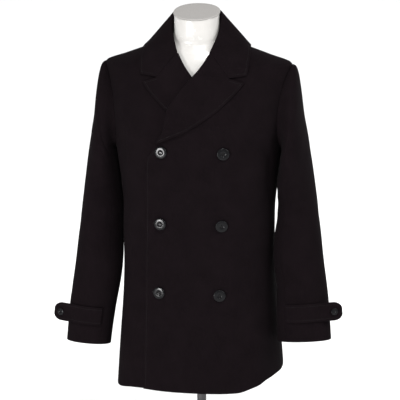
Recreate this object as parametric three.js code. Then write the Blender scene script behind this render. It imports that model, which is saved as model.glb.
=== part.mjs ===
// A double-breasted pea coat worn by a limbless dress form on a short stand.
// Millimetres, +Z up. The coat's front faces -Y and the wearer's left is +X.
// Heights in the tables are measured up from the coat's hem.
import * as THREE from 'three';

// Driving dimensions
const HEM_Z = 200; // the hem's height above the floor
const CLOTH = 3; // melton with its lining
const SLEEVE_CLOTH = 2.6;
const TURNED = 4; // lapels, collar fall and straps are two layers
const STAND_CLOTH = 2.5;
const REST = 1; // gap under a piece that lies on another
const SEAM = 0.3; // gap between pieces that meet
const FRONT_EDGE = { hem: 121, top: 106 }; // how far each front passes the centre
const BREAK_H = 601; // where the lapel starts to roll
const ARM_LOW = 565;
const ARM_HIGH = 770;
const ARM_SPAN = 26; // degrees of the body taken by the armhole, to the front and to the back
const NECK_H = 827;
const CAP_H = 894;
const CAP_SLOPE = 10; // degrees, down to the front
const BUTTON_R = 14.5;
const BUTTON_THICK = 5;
const BUTTON_X = 71;
const CUFF_BUTTON_R = 8.5;
const STRAP_WIDTH = 45;
const POLE_R = 11.5;
const BASE_R = 148;
const BASE_THICK = 8;

// The rows of front buttons, and how far each pair sits from the middle
const BUTTONS = [{ h: 241, x: -8 }, { h: 411, x: -3 }, { h: 586, x: 2 }];

// The coat's outer surface: half width, place of the side, reach forward and back of the centre, squareness
const BODY = [
  { h: 0, half: 202, mid: 0, front: 150, back: 148, nf: 2.6, nb: 2.4 },
  { h: 110, half: 194, mid: 0, front: 145, back: 140, nf: 2.55, nb: 2.4 },
  { h: 231, half: 184.5, mid: 0, front: 139, back: 130, nf: 2.5, nb: 2.4 },
  { h: 335, half: 179.5, mid: 0, front: 135, back: 124, nf: 2.4, nb: 2.4 },
  { h: 411, half: 180, mid: 0, front: 135, back: 125, nf: 2.4, nb: 2.4 },
  { h: 490, half: 187, mid: 0, front: 138, back: 130, nf: 2.4, nb: 2.4 },
  { h: 565, half: 196, mid: 0, front: 141, back: 134, nf: 2.4, nb: 2.4 },
  { h: 640, half: 206, mid: 0, front: 139, back: 132, nf: 2.4, nb: 2.3 },
  { h: 680, half: 210, mid: 0, front: 133, back: 127, nf: 2.35, nb: 2.2 },
  { h: 715, half: 213, mid: 1, front: 123, back: 119, nf: 2.25, nb: 2.1 },
  { h: 751, half: 216.5, mid: 3, front: 108, back: 103, nf: 2.05, nb: 2.0 },
  { h: 770, half: 219, mid: 4, front: 101, back: 92, nf: 1.9, nb: 1.9 },
  { h: 787, half: 176, mid: 6, front: 94.5, back: 80, nf: 1.9, nb: 1.95 },
  { h: 807, half: 123, mid: 10, front: 86, back: 62, nf: 1.95, nb: 2.0 },
  { h: 827, half: 77, mid: 15, front: 77, back: 45, nf: 2.0, nb: 2.0 },
];

// Soft folds of the skirt: angle round the body, width of the fold, depth at the hem, where it dies out
const FOLDS = [
  { angle: 20, spread: 15, depth: -4, top: 380 },
  { angle: 47, spread: 9, depth: 4, top: 420 },
  { angle: 148, spread: 16, depth: 11, top: 420 },
  { angle: 205, spread: 10, depth: 6, top: 360 },
  { angle: 236, spread: 12, depth: -8, top: 470 },
  { angle: 270, spread: 12, depth: 7, top: 520 },
  { angle: 303, spread: 11, depth: -8, top: 450 },
  { angle: 336, spread: 10, depth: 6, top: 340 },
];

// How far the hem hangs above or below its level, round the body
const HEM_LINE = [
  { angle: 0, rise: 11 }, { angle: 18, rise: 16 }, { angle: 35, rise: 16 }, { angle: 50, rise: 7 },
  { angle: 65, rise: -5 }, { angle: 90, rise: -6 }, { angle: 115, rise: -6 }, { angle: 132, rise: -10 },
  { angle: 148, rise: -18 }, { angle: 162, rise: -20 }, { angle: 180, rise: -13 },
  { angle: 225, rise: -2 }, { angle: 270, rise: 3 }, { angle: 315, rise: 8 }, { angle: 360, rise: 11 },
];
const HEM_FADE = 260;
const WAIST = { height: 350, reach: 80, ease: 0.03 }; // the wearer's right side stands out a little

// The roll line of a front: distance from the centre, towards that front's own side
const ROLL = [
  { h: 601, x: -86 }, { h: 614, x: -74 }, { h: 642, x: -59 }, { h: 680, x: -52 }, { h: 715, x: -29 },
  { h: 751, x: 0 }, { h: 784, x: 25 }, { h: 806, x: 38 },
];
const GORGE = { x: 38, h: 806 };
// The neck seam, from the inner end of the gorge up to the shoulder
const NECK_SEAM = [{ h: 806, x: 38 }, { h: 815, x: 49 }, { h: 822, x: 59 }, { h: 827, x: 69 }];
// The lapel's outer edge, from the break to its point
const LAPEL_EDGE = [
  { u: 0, x: -82, h: 604 }, { u: 0.38, x: -2, h: 642 }, { u: 0.66, x: 57, h: 681 },
  { u: 0.82, x: 87, h: 708 }, { u: 0.92, x: 105, h: 726 }, { u: 1, x: 117, h: 741 },
];
const NOTCH = { x: 82, h: 753 }; // where collar and lapel part
const COLLAR_POINT = { x: 122, h: 757 };

// The collar's fold, from the middle of the back round to the gorge
const FOLD_LINE = [
  { s: 0, x: 0, f: -38, h: 888 }, { s: 0.18, x: 29.5, f: -29.5, h: 888 }, { s: 0.36, x: 49, f: -8, h: 887 },
  { s: 0.52, x: 55.8, f: 14, h: 883 }, { s: 0.68, x: 56.5, f: 38, h: 858 }, { s: 0.8, x: 51.5, f: 58, h: 838 },
  { s: 0.9, x: 45, f: 73, h: 822 }, { s: 1, x: 38.5, f: 86, h: 807.5 },
];
// The collar's outer edge, seen from above; it lies on the shoulders
const COLLAR_EDGE = [
  { s: 0, x: 0, f: -76 }, { s: 0.18, x: 52, f: -72 }, { s: 0.36, x: 98, f: -50 }, { s: 0.52, x: 119, f: -10 },
  { s: 0.68, x: 124, f: 28 }, { s: 0.8, x: 126, f: 54 }, { s: 0.9, x: 125, f: 74 }, { s: 1, x: 122, f: 91 },
];
// The foot of the collar's stand, just above the neck seam
const STAND_FOOT = [
  { s: 0, x: 0, f: -46, h: 820 }, { s: 0.18, x: 32, f: -39, h: 824 }, { s: 0.36, x: 58, f: -18, h: 831 },
  { s: 0.52, x: 68.5, f: 14, h: 831 }, { s: 0.68, x: 64, f: 38, h: 830 }, { s: 0.8, x: 55, f: 58, h: 822.5 },
  { s: 0.9, x: 46.5, f: 71.5, h: 814 },
];
const STAND_END = 0.88; // the stand stops where the fall meets the front

// A sleeve: its outer and inner lines from the front, and its depth, from the armhole to the cuff
const SLEEVE = [
  { t: 0, ox: 219, oh: 770, ix: 196, ih: 565, mid: 3, fore: 68, aft: 66, lean: 0 },
  { t: 0.04, ox: 230, oh: 764, ix: 198.5, ih: 563, mid: 3, fore: 72, aft: 70, lean: 0 },
  { t: 0.08, ox: 234, oh: 747, ix: 199.5, ih: 560, mid: 3, fore: 76, aft: 75, lean: 0 },
  { t: 0.14, ox: 241, oh: 702, ix: 200, ih: 555, mid: 3, fore: 80, aft: 80, lean: 0 },
  { t: 0.22, ox: 248, oh: 647, ix: 199.5, ih: 545, mid: 2, fore: 82, aft: 82, lean: 0 },
  { t: 0.3, ox: 257, oh: 600, ix: 197, ih: 525, mid: 2, fore: 81, aft: 81, lean: 0 },
  { t: 0.4, ox: 269, oh: 527, ix: 191.5, ih: 490, mid: 4, fore: 76, aft: 78, lean: 1 },
  { t: 0.52, ox: 282.5, oh: 434, ix: 186, ih: 420, mid: 10, fore: 68, aft: 70, lean: 3 },
  { t: 0.62, ox: 291.5, oh: 366, ix: 184, ih: 345, mid: 20, fore: 62, aft: 65, lean: 5 },
  { t: 0.72, ox: 300, oh: 296, ix: 187.5, ih: 278, mid: 31, fore: 57, aft: 60, lean: 8 },
  { t: 0.86, ox: 315, oh: 190, ix: 201, ih: 180, mid: 47, fore: 51, aft: 53, lean: 11 },
  { t: 1, ox: 323, oh: 99, ix: 210.5, ih: 92, mid: 61, fore: 47, aft: 49, lean: 13 },
];
// How far a sleeve's inner line lies nearer the body and further forward than its table says
const NEAR_LEFT = [
  { t: 0.1, inward: 0, fore: 0 }, { t: 0.16, inward: 2.5, fore: 16 }, { t: 0.22, inward: 3.6, fore: 30 },
  { t: 0.3, inward: 3.8, fore: 34 }, { t: 0.37, inward: 3.2, fore: 34 }, { t: 0.42, inward: 2.2, fore: 26 },
  { t: 0.47, inward: -0.5, fore: 12 }, { t: 0.53, inward: -2.5, fore: 4 }, { t: 0.58, inward: -0.5, fore: 4 },
  { t: 0.64, inward: 4, fore: 8 }, { t: 0.7, inward: 5.5, fore: 10 }, { t: 0.79, inward: 2.5, fore: 6 },
  { t: 0.87, inward: 8, fore: 6 }, { t: 1, inward: 11, fore: 6 },
];
const NEAR_RIGHT = [
  { t: 0.1, inward: 0, fore: 0 }, { t: 0.22, inward: 3, fore: -12 }, { t: 0.3, inward: 3, fore: -14 },
  { t: 0.4, inward: 1.5, fore: -16 }, { t: 0.52, inward: 0, fore: -18 }, { t: 0.61, inward: -3, fore: -12 },
  { t: 0.72, inward: -0.5, fore: -3 }, { t: 0.8, inward: 0, fore: 0 },
];
const HANG = { raise: 14.5, sway: 5 }; // the wearer's left cuff hangs higher and nearer than the right one
const CAP_ROLL = { crown: 0.09, sides: 0.2 }; // share of the sleeve that rolls out of the armhole
const FRONT_SEAM = 128; // degrees round the sleeve from its outer line, over the front
const BACK_SEAM = 255;
// Creases at the bend of the elbow: place along the sleeve, angle round it, length, depth
const ELBOW = [
  { t: 0.5, angle: 130, along: 0.022, round: 46, depth: -3 },
  { t: 0.57, angle: 118, along: 0.02, round: 52, depth: -2.6 },
  { t: 0.64, angle: 150, along: 0.022, round: 44, depth: -2.2 },
];

// The dress form, apart from its shoulders, which follow the coat's
const FORM = [
  { h: 96, half: 148, mid: 0, front: 96, back: 100 },
  { h: 112, half: 158, mid: 0, front: 106, back: 112 },
  { h: 190, half: 163, mid: 0, front: 112, back: 115 },
  { h: 290, half: 150, mid: 0, front: 104, back: 104 },
  { h: 390, half: 141, mid: 0, front: 100, back: 97 },
  { h: 480, half: 147, mid: 0, front: 108, back: 104 },
  { h: 565, half: 161, mid: 0, front: 120, back: 114 },
  { h: 640, half: 178, mid: 0, front: 124, back: 116 },
  { h: 700, half: 190, mid: 1, front: 115, back: 109 },
  { h: 740, half: 196, mid: 3, front: 100, back: 95 },
  { h: 770, half: 190, mid: 5, front: 91, back: 80 },
  { h: 800, half: 120, mid: 9, front: 78, back: 56 },
  { h: 824, half: 64, mid: 17, front: 70, back: 38 },
  { h: 836, half: 57, mid: 22, front: 73, back: 33 },
  { h: 850, half: 53, mid: 25, front: 76, back: 28 },
  { h: 880, half: 52, mid: 26, front: 78, back: 26 },
  { h: 894, half: 52, mid: 26, front: 78, back: 26 },
];
const FORM_N = 2.1;
const FORM_INSET = { ridge: 1.6, tip: 9 }; // gap under the shoulder seam, and at the end of the shoulder

const rad = (degrees) => (degrees * Math.PI) / 180;
const mix = (a, b, t) => a + (b - a) * t;
const smooth = (t) => {
  const c = Math.min(1, Math.max(0, t));
  return c * c * (3 - 2 * c);
};
const fill = (count, make) => Array.from({ length: count }, (_, i) => make(i));
const power = (value, exponent) => Math.sign(value) * Math.abs(value) ** exponent;

// A column of a table at a value of its key, on a smooth curve that never overshoots the rows.
function at(table, key, column, value) {
  const last = table.length - 1;
  if (value <= table[0][key]) return table[0][column];
  if (value >= table[last][key]) return table[last][column];
  let i = 0;
  while (table[i + 1][key] < value) i += 1;
  const slope = (k) =>
    (table[k + 1][column] - table[k][column]) / (table[k + 1][key] - table[k][key]);
  const tangent = (k) => {
    if (k === 0) return slope(0);
    if (k === last) return slope(last - 1);
    const [before, after] = [slope(k - 1), slope(k)];
    return before * after <= 0 ? 0 : (2 * before * after) / (before + after);
  };
  const span = table[i + 1][key] - table[i][key];
  const t = (value - table[i][key]) / span;
  const [t2, t3] = [t * t, t * t * t];
  return (
    table[i][column] * (2 * t3 - 3 * t2 + 1) +
    tangent(i) * span * (t3 - 2 * t2 + t) +
    table[i + 1][column] * (3 * t2 - 2 * t3) +
    tangent(i + 1) * span * (t3 - t2)
  );
}

// A surface's point moved out along its own normal; facing is 1 or -1, du and dv are small steps.
const offset = (point, facing, du, dv) => (u, v, out) => {
  const across = point(u + du, v).sub(point(u - du, v));
  const up = point(u, v + dv).sub(point(u, v - dv));
  return point(u, v).addScaledVector(up.cross(across).normalize(), out * facing);
};

// A geometry with its faces turned out.
function faced(points, index) {
  const volume = fill(index.length / 3, (i) => {
    const [a, b, c] = [0, 1, 2].map((k) => points[index[3 * i + k]]);
    return a.dot(b.clone().cross(c));
  }).reduce((sum, part) => sum + part, 0);
  if (volume < 0) index.reverse();
  return new THREE.BufferGeometry().setFromPoints(points).setIndex(index);
}

// A closed wall between an outer and an inner grid of points.
function wall(outer, inner) {
  const [rows, columns] = [outer.length, outer[0].length];
  const inside = rows * columns;
  const index = [];
  const quad = (a, b, c, d) => index.push(a, b, c, a, c, d);
  for (let i = 0; i < rows - 1; i += 1) {
    for (let j = 0; j < columns - 1; j += 1) {
      const a = i * columns + j;
      const d = a + columns;
      quad(a, a + 1, d + 1, d);
      quad(inside + d, inside + d + 1, inside + a + 1, inside + a);
    }
  }
  const top = (rows - 1) * columns;
  for (let j = 0; j < columns - 1; j += 1) {
    quad(j + 1, j, inside + j, inside + j + 1);
    quad(top + j, top + j + 1, inside + top + j + 1, inside + top + j);
  }
  for (let i = 0; i < rows - 1; i += 1) {
    const [low, high, end] = [i * columns, (i + 1) * columns, columns - 1];
    quad(low, high, inside + high, inside + low);
    quad(high + end, low + end, inside + low + end, inside + high + end);
  }
  return faced([...outer.flat(), ...inner.flat()], index);
}

// A wall made from a surface: the same grid of places at two distances from it.
function shell(surfaceOut, places, near, far) {
  const grid = (out) => places.map((row) => row.map(([u, v]) => surfaceOut(u, v, out)));
  return wall(grid(far), grid(near));
}

// A point of a ring: the angle runs from the wearer's left side (0) over the front (90) to the right (180).
function onRing(ring, degrees, n) {
  const [c, s] = [Math.cos(rad(degrees)), Math.sin(rad(degrees))];
  const reach = s >= 0 ? ring.front - ring.mid : ring.back + ring.mid;
  return { x: ring.half * power(c, 2 / n), f: ring.mid + reach * power(s, 2 / n) };
}

const ringOf = (table, h) => ({
  half: at(table, 'h', 'half', h),
  mid: at(table, 'h', 'mid', h),
  front: at(table, 'h', 'front', h),
  back: at(table, 'h', 'back', h),
});
const squareness = (h, front) => at(BODY, 'h', front ? 'nf' : 'nb', h);
const wrap = (degrees) => ((degrees % 360) + 360) % 360;

function foldDepth(degrees, h) {
  return FOLDS.reduce((sum, fold) => {
    const across = (wrap(degrees) - fold.angle) / fold.spread;
    return sum + fold.depth * Math.exp(-across * across) * smooth(1 - h / fold.top);
  }, 0);
}

const hemRise = (degrees, h) => at(HEM_LINE, 'angle', 'rise', wrap(degrees)) * smooth(1 - h / HEM_FADE);

// A point of the coat's outer surface.
function bodyPoint(degrees, h) {
  const ring = ringOf(BODY, h);
  const p = onRing(ring, degrees, squareness(h, Math.sin(rad(degrees)) >= 0));
  const [cx, cf] = [p.x, p.f - ring.mid];
  const grow = 1 + foldDepth(degrees, h) / Math.hypot(cx, cf);
  const side = Math.min(0, Math.cos(rad(degrees))) ** 2;
  const ease = 1 + WAIST.ease * side * Math.exp(-(((h - WAIST.height) / WAIST.reach) ** 2));
  return new THREE.Vector3(cx * grow * ease, -(ring.mid + cf * grow), HEM_Z + h + hemRise(degrees, h));
}

const bodyOut = offset(bodyPoint, 1, 0.5, 0.5);

// The angle at which a front passes a distance from the centre; side is 1 for the wearer's left.
function angleOf(side, x, h) {
  const share = Math.min(1, Math.max(-1, x / at(BODY, 'h', 'half', h)));
  const local = THREE.MathUtils.radToDeg(Math.acos(power(share, squareness(h, true) / 2)));
  return side > 0 ? local : 180 - local;
}

// Where a front ends: its edge, its roll line, then the neck seam.
function frontEnd(h) {
  const edge = -mix(FRONT_EDGE.hem, FRONT_EDGE.top, Math.min(1, h / BREAK_H));
  if (h <= BREAK_H) return mix(edge, ROLL[0].x, smooth((h - 560) / (BREAK_H - 560)));
  return h <= GORGE.h ? at(ROLL, 'h', 'x', h) : at(NECK_SEAM, 'h', 'x', h);
}

// How far the upper front stands over the lower one, and over the lower one's lapel beside the roll line.
function lift(side, x, h) {
  if (side < 0) return 0;
  const overFront = 1 - smooth((x + frontEnd(h) - 20) / 50);
  const besideRoll = 1 - smooth((x - at(ROLL, 'h', 'x', h) - 34) / 40);
  const lapelUnder = smooth((h - 618) / 36) * (1 - smooth((h - 755) / 16));
  return overFront * (CLOTH + REST) + besideRoll * lapelUnder * (TURNED + 2 * REST);
}

const frontOut = (side, x, h, out) => bodyOut(angleOf(side, x, h), h, lift(side, x, h) + out);

// Rows of the body's panels: level below the armhole, round it at the side, then over the shoulder
const SKIRT_ROWS = [0, 28, 62, 105, 155, 210, 268, 325, 380, 435, 488, 534];
const ARM_STEPS = 12;
const SHOULDER_ROWS = [781, 792, 804, 816, 827];
const armHeight = (degrees) => mix(ARM_LOW, ARM_HIGH, (1 + Math.cos(rad(degrees))) / 2);
const armAngle = (degrees) => ARM_SPAN * Math.sin(rad(degrees));
const level = (h) => ({ side: h, far: h, arm: 0 });
const ROWS = [
  ...SKIRT_ROWS.map(level),
  ...fill(ARM_STEPS + 1, (k) => {
    const round = 180 - (180 * k) / ARM_STEPS;
    return { side: armHeight(round), far: mix(ARM_LOW, ARM_HIGH, k / ARM_STEPS), arm: armAngle(round) };
  }),
  ...SHOULDER_ROWS.map(level),
];
const ARM_REACH = 55; // degrees beyond the armhole over which the rows become level
const SEAM_ANGLE = 0.1; // degrees left open on each side of a side or shoulder seam
const rowHeight = (row, beyond) => mix(row.side, row.far, smooth(beyond / ARM_REACH));

function frontPanel(side) {
  const columns = 13;
  const places = ROWS.map((row) => {
    const first = row.arm + SEAM_ANGLE;
    const last = angleOf(1, frontEnd(row.far), row.far);
    return fill(columns, (j) => {
      const local = mix(first, last, j / (columns - 1));
      return [side > 0 ? local : 180 - local, rowHeight(row, local - first)];
    });
  });
  const out = (degrees, h, away) => bodyOut(degrees, h, lift(side, side * bodyPoint(degrees, h).x, h) + away);
  return shell(out, places, -CLOTH, 0);
}

const BACK_NECK_DIP = 9; // how far the neckline falls at the middle of the back

function backPanel() {
  const columns = 23;
  const places = ROWS.map((row) => {
    const open = row.arm + SEAM_ANGLE;
    return fill(columns, (j) => {
      const along = mix(open, 180 - open, j / (columns - 1));
      const h = rowHeight(row, Math.min(along, 180 - along) - open);
      const dip = BACK_NECK_DIP * Math.sin(rad(along)) ** 2 * smooth((h - 770) / (NECK_H - 770));
      return [180 + along, h - dip];
    });
  });
  return shell(bodyOut, places, -CLOTH, 0);
}

const LAPEL_COLUMNS = 8;
const LAPEL_NOTCH = 4 / (LAPEL_COLUMNS - 1);
const SOFT = 2.5; // how far a lapel or collar stands off beside its fold

// A lapel's place on its front: q runs from the roll line to the outer edge, r from the break up to the gorge.
function lapelPlace(q, r) {
  const rollH = mix(BREAK_H + 3, GORGE.h - 1, r);
  const roll = { x: at(ROLL, 'h', 'x', rollH) + 0.5, h: rollH };
  const edge = { x: at(LAPEL_EDGE, 'u', 'x', r), h: at(LAPEL_EDGE, 'u', 'h', r) };
  const straight = { x: mix(roll.x, edge.x, q), h: mix(roll.h, edge.h, q) };
  const tip = LAPEL_EDGE[LAPEL_EDGE.length - 1];
  const bend = q < LAPEL_NOTCH ? q / LAPEL_NOTCH : (1 - q) / (1 - LAPEL_NOTCH);
  const pull = bend * smooth((r - 0.6) / 0.4);
  return {
    x: straight.x + (NOTCH.x - mix(GORGE.x, tip.x, LAPEL_NOTCH)) * pull,
    h: straight.h + (NOTCH.h - 1.8 - mix(GORGE.h - 1, tip.h, LAPEL_NOTCH)) * pull,
  };
}

const COVERED = 27; // how far the lower lapel runs on under the upper front's roll line
const LOWER_START = 0.57; // the lower lapel's first row; what lies below it would be hidden

// Where a row of the lower lapel starts: at its roll line, or under the upper front.
function lowerStart(r) {
  const hidden = (q) => {
    const { x, h } = lapelPlace(q, r);
    return x < -at(ROLL, 'h', 'x', h) - COVERED;
  };
  let q = 0;
  while (q < 1 && hidden(q)) q += 0.01;
  return q;
}

function lapel(side) {
  const rows = side > 0 ? 13 : 9;
  const first = side > 0 ? 0.02 : LOWER_START;
  const start = side > 0 ? () => 0 : lowerStart;
  const soft = side > 0 ? SOFT : 0.4 * SOFT;
  const places = fill(rows, (i) => {
    const r = mix(first, 1, i / (rows - 1));
    return fill(LAPEL_COLUMNS, (j) => [mix(start(r), 1, j / (LAPEL_COLUMNS - 1)), r]);
  });
  const out = (q, r, away) => {
    const { x, h } = lapelPlace(q, r);
    return frontOut(side, x, h, REST + soft * (1 - q) ** 2 + away);
  };
  return shell(out, places, 0, TURNED);
}

// The share of the way out to the coat's surface at which a point lies; 1 is on the surface.
function bodyShare(p) {
  const h = p.z - HEM_Z;
  const ring = ringOf(BODY, h);
  const f = -p.y - ring.mid;
  const n = squareness(h, f >= 0);
  const reach = f >= 0 ? ring.front - ring.mid : ring.back + ring.mid;
  return ((Math.abs(p.x) / ring.half) ** n + (Math.abs(f) / reach) ** n) ** (1 / n);
}

// Moves a point out until it clears the coat's surface by a gap.
function clearOfBody(p, gap) {
  const slope = (axis) => {
    const [high, low] = [p.clone(), p.clone()];
    high[axis] += 0.2;
    low[axis] -= 0.2;
    return (bodyShare(high) - bodyShare(low)) / 0.4;
  };
  for (let k = 0; k < 8 && p.z < HEM_Z + NECK_H - 0.5; k += 1) {
    const normal = new THREE.Vector3(slope('x'), slope('y'), slope('z'));
    const steep = normal.length();
    const away = (bodyShare(p) - 1) / steep;
    if (away >= gap) break;
    p.addScaledVector(normal, (gap - away) / steep);
  }
  return p;
}

// The height of the coat's shoulders over a place seen from above.
function shoulderHeight(x, f) {
  let [low, high] = [620, NECK_H];
  for (let k = 0; k < 30; k += 1) {
    const h = (low + high) / 2;
    if (bodyShare(new THREE.Vector3(x, -f, HEM_Z + h)) < 1) low = h;
    else high = h;
  }
  return low;
}

const FALL_ROWS = 6;
const FALL_NOTCH = 3 / (FALL_ROWS - 1);
const FALL_ON_FRONT = 0.72; // from here to the gorge the fall takes the front's own shape

// The front end of the fall: along the gorge to the notch, then to the collar's point.
function gorgePoint(side, v) {
  const place = (column) =>
    v < FALL_NOTCH
      ? mix(GORGE[column] + 0.6, NOTCH[column], v / FALL_NOTCH)
      : mix(NOTCH[column], COLLAR_POINT[column], (v - FALL_NOTCH) / (1 - FALL_NOTCH));
  return frontOut(side, place('x'), place('h'), REST + SOFT * (1 - v) ** 2);
}

// The underside of the collar's fall: s runs from one gorge (-1) over the back (0), v from the fold outwards.
function fallPoint(s, v) {
  const [side, k] = [s < 0 ? -1 : 1, Math.abs(s)];
  const fold = { x: at(FOLD_LINE, 's', 'x', k), f: at(FOLD_LINE, 's', 'f', k), h: at(FOLD_LINE, 's', 'h', k) };
  const edge = { x: at(COLLAR_EDGE, 's', 'x', k), f: at(COLLAR_EDGE, 's', 'f', k) };
  const edgeH = shoulderHeight(edge.x, edge.f) + REST;
  const p = new THREE.Vector3(
    side * mix(fold.x, edge.x, v),
    -mix(fold.f, edge.f, v),
    HEM_Z + mix(fold.h, edgeH, v) + 3 * Math.sin(Math.PI * v) * (1 - k),
  );
  p.lerp(gorgePoint(side, v), smooth((k - FALL_ON_FRONT) / (1 - FALL_ON_FRONT)));
  return clearOfBody(p, REST + 1.2 + lift(side, side * p.x, p.z - HEM_Z));
}

const fallOut = offset(fallPoint, 1, 0.02, 0.06);

function collarFall() {
  const half = 14;
  const places = fill(FALL_ROWS, (i) => fill(2 * half + 1, (j) => [(j - half) / half, i / (FALL_ROWS - 1)]));
  return shell(fallOut, places, 0, -TURNED);
}

// The neck side of the collar's stand, from its foot to just under the fold.
function standPoint(s, v) {
  const [side, k] = [s < 0 ? -1 : 1, Math.abs(s)];
  const foot = { x: at(STAND_FOOT, 's', 'x', k), f: at(STAND_FOOT, 's', 'f', k), h: at(STAND_FOOT, 's', 'h', k) };
  const fold = { x: at(FOLD_LINE, 's', 'x', k), f: at(FOLD_LINE, 's', 'f', k), h: at(FOLD_LINE, 's', 'h', k) };
  const inward = new THREE.Vector2(fold.x, fold.f - 26).setLength(0.6);
  return new THREE.Vector3(
    side * mix(foot.x, fold.x - inward.x, v),
    -mix(foot.f, fold.f - inward.y, v),
    HEM_Z + mix(foot.h, fold.h - 5, v),
  );
}

function collarStand() {
  const [half, rows] = [12, 4];
  const places = fill(rows, (i) => fill(2 * half + 1, (j) => [((j - half) / half) * STAND_END, i / (rows - 1)]));
  return shell(offset(standPoint, 1, 0.02, 0.05), places, 0, STAND_CLOTH);
}

// The armhole's outline, just inside the edges of the panels.
function armholePoint(degrees) {
  const tuck = 0.992;
  const h = mix(ARM_LOW, ARM_HIGH, (1 + Math.cos(rad(degrees)) * tuck) / 2);
  return bodyOut(armAngle(degrees) * tuck, h, 0.5);
}

// A point of a sleeve: the angle runs from the outer line over the front, the inner line and the back.
function sleevePoint(side, degrees, t) {
  const [c, s] = [Math.cos(rad(degrees)), Math.sin(rad(degrees))];
  const read = (column) => at(SLEEVE, 't', column, t);
  const near = (column) => at(side > 0 ? NEAR_LEFT : NEAR_RIGHT, 't', column, t);
  const n = 2.15;
  const across = (1 + power(c, 2 / n)) / 2;
  const depth = power(s, 2 / n) * (s >= 0 ? read('fore') : read('aft'));
  const crease = ELBOW.reduce((sum, e) => {
    const [along, round] = [(t - e.t) / e.along, (wrap(degrees - e.angle + 180) - 180) / e.round];
    return sum + e.depth * Math.exp(-along * along - round * round);
  }, 0);
  const p = new THREE.Vector3(
    mix(read('ix') - near('inward'), read('ox'), across) + crease * c,
    -(read('mid') + near('fore') * (1 - across) + (depth + crease * s) * Math.cos(rad(read('lean')))),
    HEM_Z + mix(read('ih'), read('oh'), across) + depth * Math.sin(rad(read('lean'))),
  );
  p.z += side * HANG.raise * smooth((t - 0.3) / 0.55);
  p.x -= side * HANG.sway * (1 - across) * smooth((t - 0.7) / 0.3);
  const roll = Math.min(1, Math.max(0, t) / mix(CAP_ROLL.crown, CAP_ROLL.sides, s * s));
  p.lerp(armholePoint(degrees), (1 - roll) ** 2);
  p.x *= side;
  return p;
}

const sleeveOut = (side) => offset((degrees, t) => sleevePoint(side, degrees, t), -side, 1, 0.006);

function sleevePiece(side, first, last, columns) {
  const rows = 17;
  const places = fill(rows, (i) => {
    const even = i / (rows - 1);
    return fill(columns, (j) => [mix(first, last, j / (columns - 1)), mix(even * even, even, 0.5)]);
  });
  return shell(sleeveOut(side), places, -SLEEVE_CLOTH, 0);
}

// The strap starts at the sleeve's front seam and leaves the sleeve for a free, pointed end.
const STRAP = { t: 0.888, start: 122, leave: 50, beyond: 31, point: 20, bow: 4, back: 0.25 };

function strapPoint(side, along, w) {
  const sleeve = sleeveOut(side);
  const onSleeve = 0.62;
  const place = (degrees, share) => {
    const base = sleeve(degrees, STRAP.t, REST - 0.1);
    const down = sleevePoint(side, degrees, STRAP.t + 0.02).sub(sleevePoint(side, degrees, STRAP.t - 0.02));
    return base.addScaledVector(down.normalize(), w * STRAP_WIDTH * share);
  };
  if (along <= onSleeve) return place(mix(STRAP.start, STRAP.leave, along / onSleeve), 1);
  const out = (along - onSleeve) / (1 - onSleeve);
  const free = side * (sleevePoint(side, 0, STRAP.t).x - place(STRAP.leave, 1).x) + STRAP.beyond;
  const fromTip = Math.min(1, Math.max(0, free * (1 - out)) / STRAP.point);
  const taper = mix(0.26, 1, Math.sqrt(1 - (1 - fromTip) ** 2));
  const p = place(STRAP.leave, taper);
  p.x += side * free * out;
  p.y += free * out * STRAP.back + STRAP.bow * out * out;
  return p;
}

function strap(side) {
  const columns = [0, 0.09, 0.18, 0.27, 0.36, 0.45, 0.54, 0.62, 0.7, 0.78, 0.85, 0.9, 0.94, 0.97, 0.99, 1];
  const rows = 5;
  const places = fill(rows, (i) => columns.map((u) => [u, i / (rows - 1) - 0.5]));
  const out = offset((u, w) => strapPoint(side, Math.min(u, 1.03), w), side, 0.03, 0.1);
  return shell(out, places, 0, TURNED);
}

// A sewn button with a raised rim and a dished face, its axis along +Y before it is turned.
function buttonGeometry(radius, thick) {
  const profile = [
    [0, 0], [radius * 0.72, 0], [radius * 0.97, thick * 0.4], [radius, thick * 0.66],
    [radius * 0.9, thick], [radius * 0.72, thick * 0.86], [radius * 0.62, thick * 0.55], [0, thick * 0.5],
  ].map(([x, y]) => new THREE.Vector2(x, y));
  return new THREE.LatheGeometry(profile, 18);
}

// Seats a button on three points of a surface: its place, one beside it and one above it.
function seated(mesh, [face, beside, above], gap) {
  const normal = beside.sub(face).cross(above.sub(face)).normalize();
  mesh.quaternion.setFromUnitVectors(new THREE.Vector3(0, 1, 0), normal);
  mesh.position.copy(face).addScaledVector(normal, gap);
}

// A closed body of rings, with its first and last rings filled across.
function ringSolid(rings) {
  const count = rings[0].length;
  const points = rings.flat();
  const index = [];
  for (let i = 0; i < rings.length - 1; i += 1) {
    for (let j = 0; j < count; j += 1) {
      const [a, b] = [i * count + j, i * count + ((j + 1) % count)];
      index.push(a, b, b + count, a, b + count, a + count);
    }
  }
  const centre = (ring) =>
    ring.reduce((sum, p) => sum.add(p), new THREE.Vector3()).multiplyScalar(1 / count);
  points.push(centre(rings[0]), centre(rings[rings.length - 1]));
  const [foot, head] = [rings.length * count, rings.length * count + 1];
  const top = (rings.length - 1) * count;
  for (let j = 0; j < count; j += 1) {
    const k = (j + 1) % count;
    index.push(foot, k, j, head, top + j, top + k);
  }
  return faced(points, index);
}

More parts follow.
